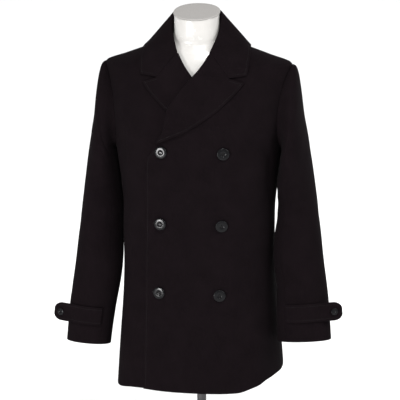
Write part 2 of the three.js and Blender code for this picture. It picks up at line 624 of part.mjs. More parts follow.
// A point of the form: its shoulders lie just under the coat's, and its neck's cut slopes to the front.
function formPoint(degrees, h) {
  const own = onRing(ringOf(FORM, h), degrees, FORM_N);
  const slope = Math.tan(rad(CAP_SLOPE)) * smooth((h - 846) / (CAP_H - 846));
  const p = new THREE.Vector3(own.x, -own.f, HEM_Z + h - (own.f - 26) * slope);
  const under = smooth((h - 700) / 68) * (1 - smooth((h - 808) / 24));
  if (under === 0) return p;
  const reach = Math.min(h, NECK_H);
  const tip = smooth((Math.abs(bodyPoint(degrees, reach).x) - 150) / 60);
  const inset = CLOTH + mix(FORM_INSET.ridge, FORM_INSET.tip, tip);
  return p.lerp(bodyOut(degrees, reach, -inset), under);
}

const FORM_ROWS = [
  96, 104, 112, 150, 190, 240, 290, 340, 390, 435, 480, 525, 565, 603, 640, 670, 700, 722, 740, 755, 765, 773,
  780, 787, 794, 801, 808, 814, 820, 826, 832, 838, 845, 860, 894,
];
const ROUND = 32;
const CAP = { thick: 4, over: 2 }; // the neck cap, and how far it stands out over the neck

const formBody = () =>
  ringSolid(
    FORM_ROWS.map((h) =>
      fill(ROUND, (j) => {
        const p = formPoint((j * 360) / ROUND, h);
        if (h === CAP_H) p.z -= CAP.thick + SEAM;
        return p;
      }),
    ),
  );

function neckCap() {
  const centre = new THREE.Vector3(0, -26, HEM_Z + CAP_H);
  const ring = (down, out) =>
    fill(ROUND, (j) => {
      const p = formPoint((j * 360) / ROUND, CAP_H).lerp(centre, -out / FORM[FORM.length - 1].half);
      p.z -= down;
      return p;
    });
  return ringSolid([ring(CAP.thick, CAP.over), ring(1, CAP.over), ring(0, CAP.over - 1)]);
}

const HUB = { r: 19, h: 28 };

function base() {
  const profile = [
    [0, 0], [BASE_R - 1, 0], [BASE_R, 1], [BASE_R, BASE_THICK - 3], [BASE_R - 3, BASE_THICK],
    [HUB.r + 7, BASE_THICK + 2], [HUB.r, BASE_THICK + 6], [HUB.r, BASE_THICK + HUB.h - 2],
    [HUB.r - 2, BASE_THICK + HUB.h], [0, BASE_THICK + HUB.h],
  ].map(([x, y]) => new THREE.Vector2(x, y));
  return new THREE.LatheGeometry(profile, 36);
}

const finish = (color, roughness, metalness) =>
  new THREE.MeshStandardMaterial({ color, roughness, metalness });
const WOOL = { color: 0x141315, roughness: 0.95, metalness: 0 };
const HORN = { color: 0x1d1d20, roughness: 0.3, metalness: 0 };
const GLOSS_WHITE = { color: 0xe2dfda, roughness: 0.25, metalness: 0 };
const GREY_CLOTH = { color: 0xbdb9b4, roughness: 0.6, metalness: 0 };
const DARK_METAL = { color: 0x3c3b3d, roughness: 0.4, metalness: 0.6 };

const model = new THREE.Group();

function add(name, geometry, look) {
  const mesh = new THREE.Mesh(geometry, finish(look.color, look.roughness, look.metalness));
  mesh.name = name;
  model.add(mesh);
  return mesh;
}

add('back', backPanel(), WOOL);
add('collar_fall', collarFall(), WOOL);
add('collar_stand', collarStand(), WOOL);

const SLEEVE_SEAM = 0.35; // degrees of a sleeve left open on each side of a seam
[[1, 'left'], [-1, 'right']].forEach(([side, name]) => {
  add(`front_${name}`, frontPanel(side), WOOL);
  add(`lapel_${name}`, lapel(side), WOOL);
  const [front, back] = [FRONT_SEAM - SLEEVE_SEAM, BACK_SEAM - 360 + SLEEVE_SEAM];
  add(`sleeve_top_${name}`, sleevePiece(side, back, front, 16), WOOL);
  const [near, far] = [FRONT_SEAM + SLEEVE_SEAM, BACK_SEAM - SLEEVE_SEAM];
  add(`sleeve_under_${name}`, sleevePiece(side, near, far, 10), WOOL);
  add(`strap_${name}`, strap(side), WOOL);
  const onStrap = (u, w) => offset((a, b) => strapPoint(side, a, b), side, 0.03, 0.1)(u, w, TURNED);
  const cuffButton = add(`cuff_button_${name}`, buttonGeometry(CUFF_BUTTON_R, 4), HORN);
  const places = [onStrap(0.86, 0), onStrap(0.86 + side * 0.05, 0), onStrap(0.86, -0.2)];
  seated(cuffButton, places, SEAM);
});

BUTTONS.forEach(({ h, x }, row) => {
  [[1, 'left'], [-1, 'right']].forEach(([side, name]) => {
    const centre = x + side * BUTTON_X;
    const onFront = (px, ph) => frontOut(1, px, ph, 0);
    const places = [onFront(centre, h), onFront(centre + 8, h), onFront(centre, h + 8)];
    seated(add(`button_${name}_${row + 1}`, buttonGeometry(BUTTON_R, BUTTON_THICK), HORN), places, SEAM);
  });
});

add('form', formBody(), GLOSS_WHITE);
add('neck_cap', neckCap(), GREY_CLOTH);
const poleLow = BASE_THICK + HUB.h + SEAM;
const poleHigh = HEM_Z + FORM[0].h - SEAM;
const pole = add('pole', new THREE.CylinderGeometry(POLE_R, POLE_R, poleHigh - poleLow, 24), DARK_METAL);
pole.rotation.x = Math.PI / 2;
pole.position.z = (poleLow + poleHigh) / 2;
add('base', base(), DARK_METAL).rotation.x = Math.PI / 2;

export default model;
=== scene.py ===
import math

import bpy
import numpy as np
from bpy.props import FloatProperty, FloatVectorProperty, PointerProperty
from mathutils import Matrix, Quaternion, Vector


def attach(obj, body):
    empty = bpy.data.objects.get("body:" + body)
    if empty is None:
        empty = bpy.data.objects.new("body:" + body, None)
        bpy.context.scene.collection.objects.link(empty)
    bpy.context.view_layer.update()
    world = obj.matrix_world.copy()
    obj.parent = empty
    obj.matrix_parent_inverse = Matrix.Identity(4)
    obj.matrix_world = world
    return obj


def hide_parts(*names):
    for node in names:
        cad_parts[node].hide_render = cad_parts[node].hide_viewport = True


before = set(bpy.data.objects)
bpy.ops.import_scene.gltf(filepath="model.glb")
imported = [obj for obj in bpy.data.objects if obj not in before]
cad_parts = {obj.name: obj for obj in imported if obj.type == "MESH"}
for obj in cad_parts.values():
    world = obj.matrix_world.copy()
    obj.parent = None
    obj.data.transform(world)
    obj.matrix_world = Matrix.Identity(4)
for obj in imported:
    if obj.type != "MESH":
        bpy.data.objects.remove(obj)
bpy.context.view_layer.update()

bl_info = {
    "name": "Pea coat on a dress form",
    "version": (1, 0, 0),
    "blender": (4, 5, 0),
    "location": "View3D > Sidebar > Pea coat",
    "description": "Builds the cloth, buttons, sewing and dress form of a double-breasted coat",
    "category": "Object",
}

MM = 0.001

# The coat's own sizes, in millimetres, as its solids have them
HEM_Z = 200
CLOTH = 3
SLEEVE_CLOTH = 2.6
TURNED = 4
REST = 1
SEAM = 0.3
FRONT_EDGE = (121, 106)
BREAK_H = 601
ARM_LOW, ARM_HIGH, ARM_SPAN = 565, 770, 26
NECK_H, CAP_H, CAP_SLOPE = 827, 894, 10
BUTTON_R, BUTTON_THICK, BUTTON_X = 14.5, 5, 71
CUFF_BUTTON_R, CUFF_BUTTON_THICK = 8.5, 4
STRAP_WIDTH = 45
POLE_R, BASE_R, BASE_THICK = 11.5, 148, 8
BUTTON_ROWS = ((241, -8), (411, -3), (586, 2))
SIDES = ((1, "left"), (-1, "right"))


def table(columns, *rows):
    return dict(zip(columns.split(), np.array(rows, float).T))


BODY = table(
    "h half mid front back nf nb",
    (0, 202, 0, 150, 148, 2.6, 2.4), (110, 194, 0, 145, 140, 2.55, 2.4), (231, 184.5, 0, 139, 130, 2.5, 2.4),
    (335, 179.5, 0, 135, 124, 2.4, 2.4), (411, 180, 0, 135, 125, 2.4, 2.4), (490, 187, 0, 138, 130, 2.4, 2.4),
    (565, 196, 0, 141, 134, 2.4, 2.4), (640, 206, 0, 139, 132, 2.4, 2.3), (680, 210, 0, 133, 127, 2.35, 2.2),
    (715, 213, 1, 123, 119, 2.25, 2.1), (751, 216.5, 3, 108, 103, 2.05, 2.0), (770, 219, 4, 101, 92, 1.9, 1.9),
    (787, 176, 6, 94.5, 80, 1.9, 1.95), (807, 123, 10, 86, 62, 1.95, 2.0), (827, 77, 15, 77, 45, 2.0, 2.0),
)
FOLDS = (
    (20, 15, -4, 380), (47, 9, 4, 420), (148, 16, 11, 420), (205, 10, 6, 360),
    (236, 12, -8, 470), (270, 12, 7, 520), (303, 11, -8, 450), (336, 10, 6, 340),
)
HEM_LINE = table(
    "angle rise",
    (0, 11), (18, 16), (35, 16), (50, 7), (65, -5), (90, -6), (115, -6), (132, -10),
    (148, -18), (162, -20), (180, -13), (225, -2), (270, 3), (315, 8), (360, 11),
)
HEM_FADE = 260
WAIST_H, WAIST_REACH, WAIST_EASE = 350, 80, 0.03
ROLL = table(
    "h x", (601, -86), (614, -74), (642, -59), (680, -52), (715, -29), (751, 0), (784, 25), (806, 38),
)
GORGE = (38, 806)
NECK_SEAM = table("h x", (806, 38), (815, 49), (822, 59), (827, 69))
LAPEL_EDGE = table(
    "u x h", (0, -82, 604), (0.38, -2, 642), (0.66, 57, 681), (0.82, 87, 708), (0.92, 105, 726), (1, 117, 741),
)
NOTCH = (82, 753)
COLLAR_POINT = (122, 757)
FOLD_LINE = table(
    "s x f h",
    (0, 0, -38, 888), (0.18, 29.5, -29.5, 888), (0.36, 49, -8, 887), (0.52, 55.8, 14, 883),
    (0.68, 56.5, 38, 858), (0.8, 51.5, 58, 838), (0.9, 45, 73, 822), (1, 38.5, 86, 807.5),
)
COLLAR_EDGE = table(
    "s x f",
    (0, 0, -76), (0.18, 52, -72), (0.36, 98, -50), (0.52, 119, -10), (0.68, 124, 28), (0.8, 126, 54),
    (0.9, 125, 74), (1, 122, 91),
)
STAND_FOOT = table(
    "s x f h",
    (0, 0, -46, 820), (0.18, 32, -39, 824), (0.36, 58, -18, 831), (0.52, 68.5, 14, 831), (0.68, 64, 38, 830),
    (0.8, 55, 58, 822.5), (0.9, 46.5, 71.5, 814), (1, 39, 84.5, 805.5),
)
SLEEVE = table(
    "t ox oh ix ih mid fore aft lean",
    (0, 219, 770, 196, 565, 3, 68, 66, 0), (0.04, 230, 764, 198.5, 563, 3, 72, 70, 0),
    (0.08, 234, 747, 199.5, 560, 3, 76, 75, 0), (0.14, 241, 702, 200, 555, 3, 80, 80, 0),
    (0.22, 248, 647, 199.5, 545, 2, 82, 82, 0), (0.3, 257, 600, 197, 525, 2, 81, 81, 0),
    (0.4, 269, 527, 191.5, 490, 4, 76, 78, 1), (0.52, 282.5, 434, 186, 420, 10, 68, 70, 3),
    (0.62, 291.5, 366, 184, 345, 20, 62, 65, 5), (0.72, 300, 296, 187.5, 278, 31, 57, 60, 8),
    (0.86, 315, 190, 201, 180, 47, 51, 53, 11), (1, 323, 99, 210.5, 92, 61, 47, 49, 13),
)
NEAR_LEFT = table(
    "t inward fore",
    (0.04, 0, 0), (0.1, 2.6, 14), (0.16, 4.2, 26), (0.22, 4.2, 32), (0.3, 4, 34), (0.37, 3.2, 34), (0.42, 2.2, 26),
    (0.47, -0.5, 12), (0.53, -2.5, 4), (0.58, -0.5, 4), (0.64, 4, 8), (0.7, 5.5, 10), (0.79, 2.5, 6),
    (0.87, 8, 6), (1, 11, 6),
)
NEAR_RIGHT = table(
    "t inward fore",
    (0.1, 0, 0), (0.22, 3, -12), (0.3, 3, -14), (0.4, 1.5, -16), (0.52, 0, -18), (0.61, -3, -12),
    (0.72, -0.5, -3), (0.8, 0, 0),
)
RAISE, SWAY = 14.5, 5
ROLL_CROWN, ROLL_SIDES = 0.09, 0.2
FRONT_SEAM, BACK_SEAM = 128, 255
FORM = table(
    "h half mid front back",
    (96, 148, 0, 96, 100), (112, 158, 0, 106, 112), (190, 163, 0, 112, 115), (290, 150, 0, 104, 104),
    (390, 141, 0, 100, 97), (480, 147, 0, 108, 104), (565, 161, 0, 120, 114), (640, 178, 0, 124, 116),
    (700, 190, 1, 115, 109), (740, 196, 3, 100, 95), (770, 190, 5, 91, 80), (800, 120, 9, 78, 56),
    (824, 64, 17, 70, 38), (836, 57, 22, 73, 33), (850, 53, 25, 76, 28), (880, 52, 26, 78, 26),
    (894, 52, 26, 78, 26),
)
FORM_N = 2.1
RIDGE_INSET, TIP_INSET = 1.6, 9

# Soft creases of the body: angle round it, height, half length, half width, tilt, bend, depth
BODY_CREASES = (
    (31, 556, 60, 13, 64, 0.25, -2.6), (36, 604, 52, 11, 52, 0.2, -1.8), (25, 505, 70, 14, 74, -0.2, -2.2),
    (150, 552, 64, 14, -62, -0.2, -2.6), (143, 610, 50, 11, -50, -0.2, -1.6), (156, 496, 72, 14, -76, 0.2, -2.2),
    (66, 395, 62, 15, 12, 0.3, -1.3), (116, 380, 66, 15, -10, -0.3, -1.4), (88, 330, 90, 18, 80, 0.1, -1.2),
    (72, 470, 70, 17, 18, 0.3, 1.1), (108, 500, 74, 17, -16, -0.2, 1.0),
    (327, 560, 66, 14, -62, -0.2, -2.6), (316, 612, 54, 12, -50, -0.2, -1.8), (213, 560, 66, 14, 62, 0.2, -2.6),
    (224, 612, 54, 12, 50, 0.2, -1.8), (262, 455, 96, 17, 78, 0.1, -1.8), (284, 430, 92, 16, -80, -0.1, -1.5),
    (248, 690, 84, 22, 10, 0.2, -1.2), (292, 690, 84, 22, -10, 0.2, -1.2), (270, 640, 60, 16, 84, 0, -1.1),
)
# Creases of a sleeve: place along it, angle round it, reach along and round, twist, depth
SLEEVE_CREASES = (
    (0.5, 130, 0.022, 46, 0, -3), (0.57, 118, 0.02, 52, 0, -2.6), (0.64, 150, 0.022, 44, 0, -2.2),
    (0.14, 60, 0.02, 30, 0.0011, -1.7), (0.13, -62, 0.02, 30, -0.0011, -1.7), (0.2, 96, 0.016, 26, 0.0016, -1.8),
    (0.26, 84, 0.014, 24, 0.002, -1.5), (0.2, -100, 0.016, 28, -0.0016, -1.8), (0.34, 40, 0.03, 26, 0.0014, -1.2),
    (0.44, 70, 0.016, 34, -0.0009, -1.8), (0.49, 58, 0.013, 30, 0.0012, -1.4), (0.54, 74, 0.015, 36, -0.0007, -1.9),
    (0.6, 60, 0.014, 30, 0.0011, -1.4), (0.46, 200, 0.016, 40, 0.0006, -1.8), (0.53, 214, 0.015, 44, -0.0006, -1.6),
    (0.72, 100, 0.02, 34, 0.0012, -1.3), (0.78, 40, 0.02, 30, -0.0012, -1.1), (0.7, -60, 0.02, 34, 0.0009, -1.3),
    (0.58, 0, 0.03, 22, 0.0016, -1.1), (0.4, -40, 0.026, 26, -0.0014, -1.2),
)


def mix(a, b, t):
    return a + (b - a) * t


def smooth(t):
    c = np.clip(t, 0, 1)
    return c * c * (3 - 2 * c)


def power(value, exponent):
    return np.sign(value) * np.abs(value) ** exponent


def unit(v):
    return v / np.maximum(np.linalg.norm(v, axis=-1, keepdims=True), 1e-9)


def stack(*parts):
    return np.stack(np.broadcast_arrays(*parts), -1)


def read(rows, column, value):
    """A column of a table at a value of its first column, on a curve that never overshoots the rows."""
    x, y = rows[next(iter(rows))], rows[column]
    value = np.clip(value, x[0], x[-1])
    i = np.clip(np.searchsorted(x, value) - 1, 0, len(x) - 2)
    slope = np.diff(y) / np.diff(x)
    before, after = slope[:-1], slope[1:]
    same_way = before * after > 0
    inner = np.where(same_way, 2 * before * after / np.where(same_way, before + after, 1), 0)
    tangent = np.concatenate([slope[:1], inner, slope[-1:]])
    span = x[i + 1] - x[i]
    t = (value - x[i]) / span
    return (
        y[i] * (2 * t**3 - 3 * t**2 + 1) + tangent[i] * span * (t**3 - 2 * t**2 + t)
        + y[i + 1] * (3 * t**2 - 2 * t**3) + tangent[i + 1] * span * (t**3 - t**2)
    )


def offset(point, facing, du, dv):
    """A surface's point moved out along its own normal."""

    def out(u, v, away=0.0):
        across = point(u + du, v) - point(u - du, v)
        up = point(u, v + dv) - point(u, v - dv)
        return point(u, v) + unit(np.cross(up, across)) * (np.asarray(away) * facing)[..., None]

    return out


# ---- the coat's body

def squareness(h, front):
    return np.where(front, read(BODY, "nf", h), read(BODY, "nb", h))


def turn_between(degrees, centre):
    return (degrees - centre + 180) % 360 - 180


def fold_depth(degrees, h):
    total = 0
    for angle, spread, depth, top in FOLDS:
        total = total + depth * np.exp(-(((degrees % 360) - angle) / spread) ** 2) * smooth(1 - h / top)
    for angle, at_h, length, width, tilt, bend, depth in BODY_CREASES:
        x, z = turn_between(degrees, angle) * 3.2, h - at_h
        c, s = math.cos(math.radians(tilt)), math.sin(math.radians(tilt))
        u, v = x * c + z * s, -x * s + z * c
        v = v + bend * u * u / length
        uneven = 1 + 0.25 * np.sin(u / length * 2.6 + angle)
        total = total + depth * uneven * np.exp(-((u / length) ** 2) - (v / width) ** 2)
    return total


def hem_rise(degrees, h):
    return read(HEM_LINE, "rise", degrees % 360) * smooth(1 - h / HEM_FADE)


def body_point(degrees, h):
    c, s = np.cos(np.radians(degrees)), np.sin(np.radians(degrees))
    mid = read(BODY, "mid", h)
    n = squareness(h, s >= 0)
    reach = np.where(s >= 0, read(BODY, "front", h) - mid, read(BODY, "back", h) + mid)
    x, f = read(BODY, "half", h) * power(c, 2 / n), reach * power(s, 2 / n)
    grow = 1 + fold_depth(degrees, h) / np.hypot(x, f)
    ease = 1 + WAIST_EASE * np.minimum(0, c) ** 2 * np.exp(-(((h - WAIST_H) / WAIST_REACH) ** 2))
    return stack(x * grow * ease, -(mid + f * grow), HEM_Z + h + hem_rise(degrees, h))


body_out = offset(body_point, 1, 0.5, 0.5)


def angle_of(side, x, h):
    share = np.clip(x / read(BODY, "half", h), -1, 1)
    local = np.degrees(np.arccos(power(share, squareness(h, True) / 2)))
    return np.where(np.asarray(side) > 0, local, 180 - local)


BENDS_AT = 560  # height from which the front's edge bends to its break
# Heights at which the room under the upper lapel starts and ends, each with the span that it takes
LAPEL_FROM, LAPEL_TO = (618, 36), (755, 16)
# How far past the other front's edge, and past the roll line, the raised cloth stays up before it eases down
OVERLAP_EASE, ROLL_EASE = (20, 50), (34, 40)


def front_end(h):
    """The distance from the middle to the front's edge, roll line or neck seam at a height."""
    edge = -mix(*FRONT_EDGE, np.minimum(1, h / BREAK_H))
    low = mix(edge, ROLL["x"][0], smooth((h - BENDS_AT) / (BREAK_H - BENDS_AT)))
    high = np.where(h <= GORGE[1], read(ROLL, "x", h), read(NECK_SEAM, "x", h))
    return np.where(h <= BREAK_H, low, high)


def lift(side, x, h):
    """How far the wearer's left front is raised over the cloth that lies under it."""
    over_front = 1 - smooth((x + front_end(h) - OVERLAP_EASE[0]) / OVERLAP_EASE[1])
    beside_roll = 1 - smooth((x - read(ROLL, "x", h) - ROLL_EASE[0]) / ROLL_EASE[1])
    grows, fades = ((h - at) / span for at, span in (LAPEL_FROM, LAPEL_TO))
    lapel_under = smooth(grows) * (1 - smooth(fades))
    risen = over_front * (CLOTH + REST) + beside_roll * lapel_under * (TURNED + 2 * REST)
    return np.where(np.asarray(side) < 0, 0, risen)


def front_out(side, x, h, away=0.0):
    return body_out(angle_of(side, x, h), h, lift(side, x, h) + away)


def on_front(side):
    return lambda degrees, h, away=0.0: body_out(
        degrees, h, lift(side, side * body_point(degrees, h)[..., 0], h) + away
    )


# ---- grids and walls

FINE = (0, 0.25, 0.7, 1.3, 2.1, 3.1, 4.3, 5.2, 6, 6.8, 7.7, 9.2, 11)


def spaced(length, step, start=True, end=True):
    """Shares of a length from 0 to 1, in even steps, with fine ones beside an edge that is rounded."""
    low, high = (np.array(FINE) if start else np.zeros(1)), (np.array(FINE) if end else np.zeros(1))
    count = max(2, int(round((length - low[-1] - high[-1]) / step)))
    middle = np.linspace(low[-1], length - high[-1], count + 1)
    return np.concatenate([low[:-1], middle, (length - high[:-1])[::-1]]) / length


def from_edges(grid):
    """How far each point of a grid lies from the first and last column, and from the first and last row."""
    across = np.cumsum(np.linalg.norm(np.diff(grid, axis=1), axis=2), axis=1)
    left = np.pad(across, ((0, 0), (1, 0)))
    up = np.cumsum(np.linalg.norm(np.diff(grid, axis=0), axis=2), axis=0)
    low = np.pad(up, ((1, 0), (0, 0)))
    return {"left": left, "right": left[:, -1:] - left, "low": low, "high": low[-1:] - low}


def rounding(distance, radius):
    d = np.minimum(distance, radius)
    return radius - np.sqrt(np.maximum(radius**2 - (radius - d) ** 2, 0))


SEWN_IN = 0.22  # how much of its roundness an edge keeps where it is sewn to the next piece
EDGE_ROUND = 1.25
STITCH_SINK, STITCH_SPREAD = 0.2, 1.3
FACES_APART = 0.05


def edge_relief(grid, thick, edges):
    """How far the two faces of a cloth wall sink beside its edges: turned and sewn, seam, or plain."""
    away = from_edges(grid)
    face, lining = np.zeros(grid.shape[:2]), np.zeros(grid.shape[:2])
    for edge, (kind, share) in edges.items():
        d = away[edge]
        if kind == "seam":
            face = np.maximum(face, rounding(d, sewing("groove")) * share)
            continue
        half = min(thick / 2 - FACES_APART, EDGE_ROUND)
        turned = mix(SEWN_IN, 1, share)
        face = np.maximum(face, rounding(d, half) * turned)
        lining = np.maximum(lining, rounding(d, half) * turned)
        if kind == "sewn":
            face = face + STITCH_SINK * share * np.exp(-(((d - sewing("inset")) / STITCH_SPREAD) ** 2))
    return face, lining


def add_mesh(name, points, faces, look):
    mesh = bpy.data.meshes.new(name)
    mesh.from_pydata((np.asarray(points) * MM).tolist(), [], faces)
    mesh.validate()
    mesh.shade_smooth()
    piece = bpy.data.objects.new(name, mesh)
    bpy.context.collection.objects.link(piece)
    mesh.materials.append(look)
    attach(piece, "root")
    return piece


def turned_out(points, faces):
    """The faces of a closed mesh, turned to face out."""
    corners = points[np.asarray([f[:3] for f in faces])]
    volume = np.einsum("ij,ij->i", corners[:, 0], np.cross(corners[:, 1], corners[:, 2])).sum()
    return faces if volume > 0 else [f[::-1] for f in faces]


def wall_mesh(outer, inner):
    rows, columns = outer.shape[:2]
    index = np.arange(rows * columns).reshape(rows, columns)
    front = stack(index[:-1, :-1], index[:-1, 1:], index[1:, 1:], index[1:, :-1]).reshape(-1, 4)
    loop = np.concatenate([index[0, :-1], index[:-1, -1], index[-1, :0:-1], index[:0:-1, 0]])
    after = np.roll(loop, -1)
    under = rows * columns
    rim = stack(after, loop, loop + under, after + under)
    points = np.concatenate([outer.reshape(-1, 3), inner.reshape(-1, 3)])
    faces = np.concatenate([front, front[:, ::-1] + under, rim]).tolist()
    return points, turned_out(points, faces)


def cloth_wall(name, outer, inner, look):
    return add_mesh(name, *wall_mesh(outer, inner), look)


def along_edge(grid, edge, inset):
    """A line on a grid of points at a distance from one of its edges."""
    away = from_edges(grid)[edge]
    if edge in ("low", "high"):
        grid, away = grid.transpose(1, 0, 2), away.T
    line = []
    for row, d in zip(grid, away):
        order = np.argsort(d)
        line.append([np.interp(inset, d[order], row[order, k]) for k in range(3)])
    return np.array(line)


def grid_normals(grid):
    up, across = np.gradient(grid, axis=0), np.gradient(grid, axis=1)
    return unit(np.cross(across, up))


# ---- sewing

def sewing(size):
    """A size of the sewing in millimetres."""
    return getattr(bpy.context.scene.coat_sewing, size) / MM


# A stitch from end to end: share of its length, of its thickness, and how high it rises in radii
STITCH = ((-0.5, 0.25, -0.25), (-0.36, 0.85, 0.12), (0, 1, 0.3), (0.36, 0.85, 0.12), (0.5, 0.25, -0.25))
STITCH_SIDES, STITCH_FLAT = 6, 1.2


def stitches(line, normals):
    """Thread laid in short stitches along a line on the cloth."""
    steps = np.linalg.norm(np.diff(line, axis=0), axis=1)
    run = np.concatenate([[0], np.cumsum(steps)])
    pitch, length, r = sewing("pitch"), sewing("length"), sewing("radius")
    count = int(run[-1] // pitch)
    points, faces = [], []
    n = STITCH_SIDES
    ring = np.radians(np.arange(n) * 360 / n)
    for k in range(count):
        middle = (k + 0.5) * pitch

        def place(distance, values):
            return np.array([np.interp(distance, run, values[:, axis]) for axis in range(3)])

        centre, normal = place(middle, line), unit(place(middle, normals))
        ahead = unit(place(middle + 1, line) - place(middle - 1, line))
        side = np.cross(normal, ahead)
        first = len(points)
        for along, size, rise in STITCH:
            for a in ring:
                points.append(
                    centre + ahead * along * length + normal * (rise * r + r * size * math.sin(a))
                    + side * (r * size * math.cos(a) * STITCH_FLAT)
                )
        for i in range(len(STITCH) - 1):
            for j in range(n):
                a, b = first + i * n + j, first + i * n + (j + 1) % n
                faces.append([a, b, b + n, a + n])
        faces.append([first + j for j in reversed(range(n))])
        last = first + n * (len(STITCH) - 1)
        faces.append([last + j for j in range(n)])
    return points, faces


def sew(name, runs, look):
    """One piece of thread stitches from several lines with their normals."""
    points, faces = [], []
    for line, normals in runs:
        p, f = stitches(line, normals)
        faces += [[i + len(points) for i in face] for face in f]
        points += p
    piece = add_mesh(name, points, faces, look)
    return piece


STITCH_BED = 0.3  # how deep the stitches lie in the cloth


def sewn_line(grid, edge, facing, share=slice(None)):
    """The line of the top stitching beside an edge, with the cloth's normals along it."""
    normals = grid_normals(grid) * facing
    line = along_edge(grid, edge, sewing("inset"))[share]
    away = from_edges(grid)[edge]
    if edge in ("low", "high"):
        normals, away = normals.transpose(1, 0, 2), away.T
    picked = np.array([row[np.argmin(np.abs(d - sewing("inset")))] for row, d in zip(normals, away)])[share]
    return line - picked * STITCH_BED, picked


# ---- looks

def fill(tree, made, inputs):
    """Gives a node's inputs a value each, or the output of another node."""
    for key, value in inputs.items():
        if isinstance(value, bpy.types.NodeSocket):
            tree.links.new(value, made.inputs[key])
        else:
            made.inputs[key].default_value = value


def node(tree, kind, inputs=None, **settings):
    made = tree.nodes.new(kind)
    for key, value in settings.items():
        setattr(made, key, value)
    fill(tree, made, inputs or {})
    return made


def shader_of(name):
    """A new material, its nodes, its shader and the place of a point on the piece."""
    look = bpy.data.materials.new(name)
    look.use_nodes = True
    tree = look.node_tree
    return look, tree, tree.nodes["Principled BSDF"], node(tree, "ShaderNodeTexCoord").outputs["Object"]


def noise(tree, place, scale, detail=3.0, rough=0.6, stretch=None):
    if stretch:
        place = node(tree, "ShaderNodeMapping", {"Vector": place, "Scale": stretch}).outputs[0]
    return node(
        tree, "ShaderNodeTexNoise", {"Vector": place, "Scale": scale, "Detail": detail, "Roughness": rough}
    ).outputs["Fac"]


def ramp(tree, value, *stops):
    made = node(tree, "ShaderNodeValToRGB", {"Fac": value})
    band = made.color_ramp
    while len(band.elements) < len(stops):
        band.elements.new(0.5)
    for element, (place, colour) in zip(band.elements, stops):
        element.position, element.color = place, (*colour, 1)
    return made.outputs[0]


def blend_colours(tree, share, a, b):
    made = node(tree, "ShaderNodeMix", {"Factor": share}, data_type="RGBA")
    for socket, value in ((made.inputs[6], a), (made.inputs[7], b)):
        if isinstance(value, bpy.types.NodeSocket):
            tree.links.new(value, socket)
        else:
            socket.default_value = (*value, 1)
    return made.outputs[2]


def bumps(tree, *layers):
    """Height layers, each with its strength and its depth in metres, one over the other."""
    below = None
    for height, strength, depth in layers:
        inputs = {"Height": height, "Strength": strength, "Distance": depth}
        if below is not None:
            inputs["Normal"] = below
        below = node(tree, "ShaderNodeBump", inputs).outputs[0]
    return below


def scaled(colour, factor):
    return tuple(min(1.0, c * factor) for c in colour)


def melton(name, colour, fuzz):
    """Felted wool: short fibres lying every way, faint clouding and a soft bloom at grazing angles."""
    look, tree, shader, place = shader_of(name)
    cloud = noise(tree, place, 22, 4, 0.6)
    nap = noise(tree, place, 420, 5, 0.65)
    across = noise(tree, place, 900, 3, 0.6, (1, 1, 0.22))
    along = noise(tree, place, 900, 3, 0.6, (0.24, 0.24, 1))
    fibre = node(tree, "ShaderNodeMath", {0: across, 1: along}, operation="MAXIMUM").outputs[0]
    base = ramp(tree, nap, (0.3, scaled(colour, 0.62)), (0.52, colour), (0.78, scaled(colour, 1.7)))
    clouded = blend_colours(
        tree, ramp(tree, cloud, (0.35, (0, 0, 0)), (0.7, (0.5, 0.5, 0.5))), base, scaled(colour, 1.45)
    )
    fill(tree, shader, {
        "Base Color": clouded,
        "Roughness": ramp(tree, nap, (0.3, (0.97,) * 3), (0.8, (0.82,) * 3)),
        "Normal": bumps(tree, (cloud, 0.3, 0.0012), (nap, 0.55, 0.0006), (fibre, 0.45, 0.0003)),
        "Sheen Weight": fuzz,
        "Sheen Roughness": 0.6,
        "Sheen Tint": (0.8, 0.74, 0.78, 1),
        "Specular IOR Level": 0.01,
    })
    return look


def sewing_thread(name, colour):
    """Thread with a faint twist."""
    look, tree, shader, place = shader_of(name)
    twist = noise(tree, place, 1600, 2, 0.5)
    fill(tree, shader, {
        "Base Color": ramp(tree, twist, (0.3, scaled(colour, 0.6)), (0.7, scaled(colour, 1.5))),
        "Normal": bumps(tree, (twist, 0.5, 0.0002)),
        "Roughness": 0.6,
        "Specular IOR Level": 0.12,
    })
    return look


def horn(name, colour):
    """Polished dark button stock with a faint streak and fine rubbing marks."""
    look, tree, shader, place = shader_of(name)
    streak = noise(tree, place, 90, 4, 0.55, (1, 1, 0.3))
    rub = noise(tree, place, 1300, 3, 0.6)
    fill(tree, shader, {
        "Base Color": ramp(tree, streak, (0.3, scaled(colour, 0.7)), (0.55, colour), (0.8, scaled(colour, 1.8))),
        "Roughness": ramp(tree, rub, (0.3, (0.13,) * 3), (0.8, (0.22,) * 3)),
        "Normal": bumps(tree, (rub, 0.06, 0.0002)),
        "Specular IOR Level": 0.1,
    })
    return look


def moulded_gloss(name, colour):
    """Glossy painted shell of the form, with a slight ripple and dulled patches."""
    look, tree, shader, place = shader_of(name)
    ripple, dull = noise(tree, place, 14, 2, 0.4), noise(tree, place, 60, 4, 0.6)
    fill(tree, shader, {
        "Base Color": ramp(tree, dull, (0.3, scaled(colour, 0.97)), (0.7, colour)),
        "Roughness": ramp(tree, dull, (0.35, (0.2,) * 3), (0.75, (0.3,) * 3)),
        "Normal": bumps(tree, (ripple, 0.12, 0.0015), (dull, 0.05, 0.0003)),
        "Coat Weight": 0.3,
        "Coat Roughness": 0.08,
    })
    return look


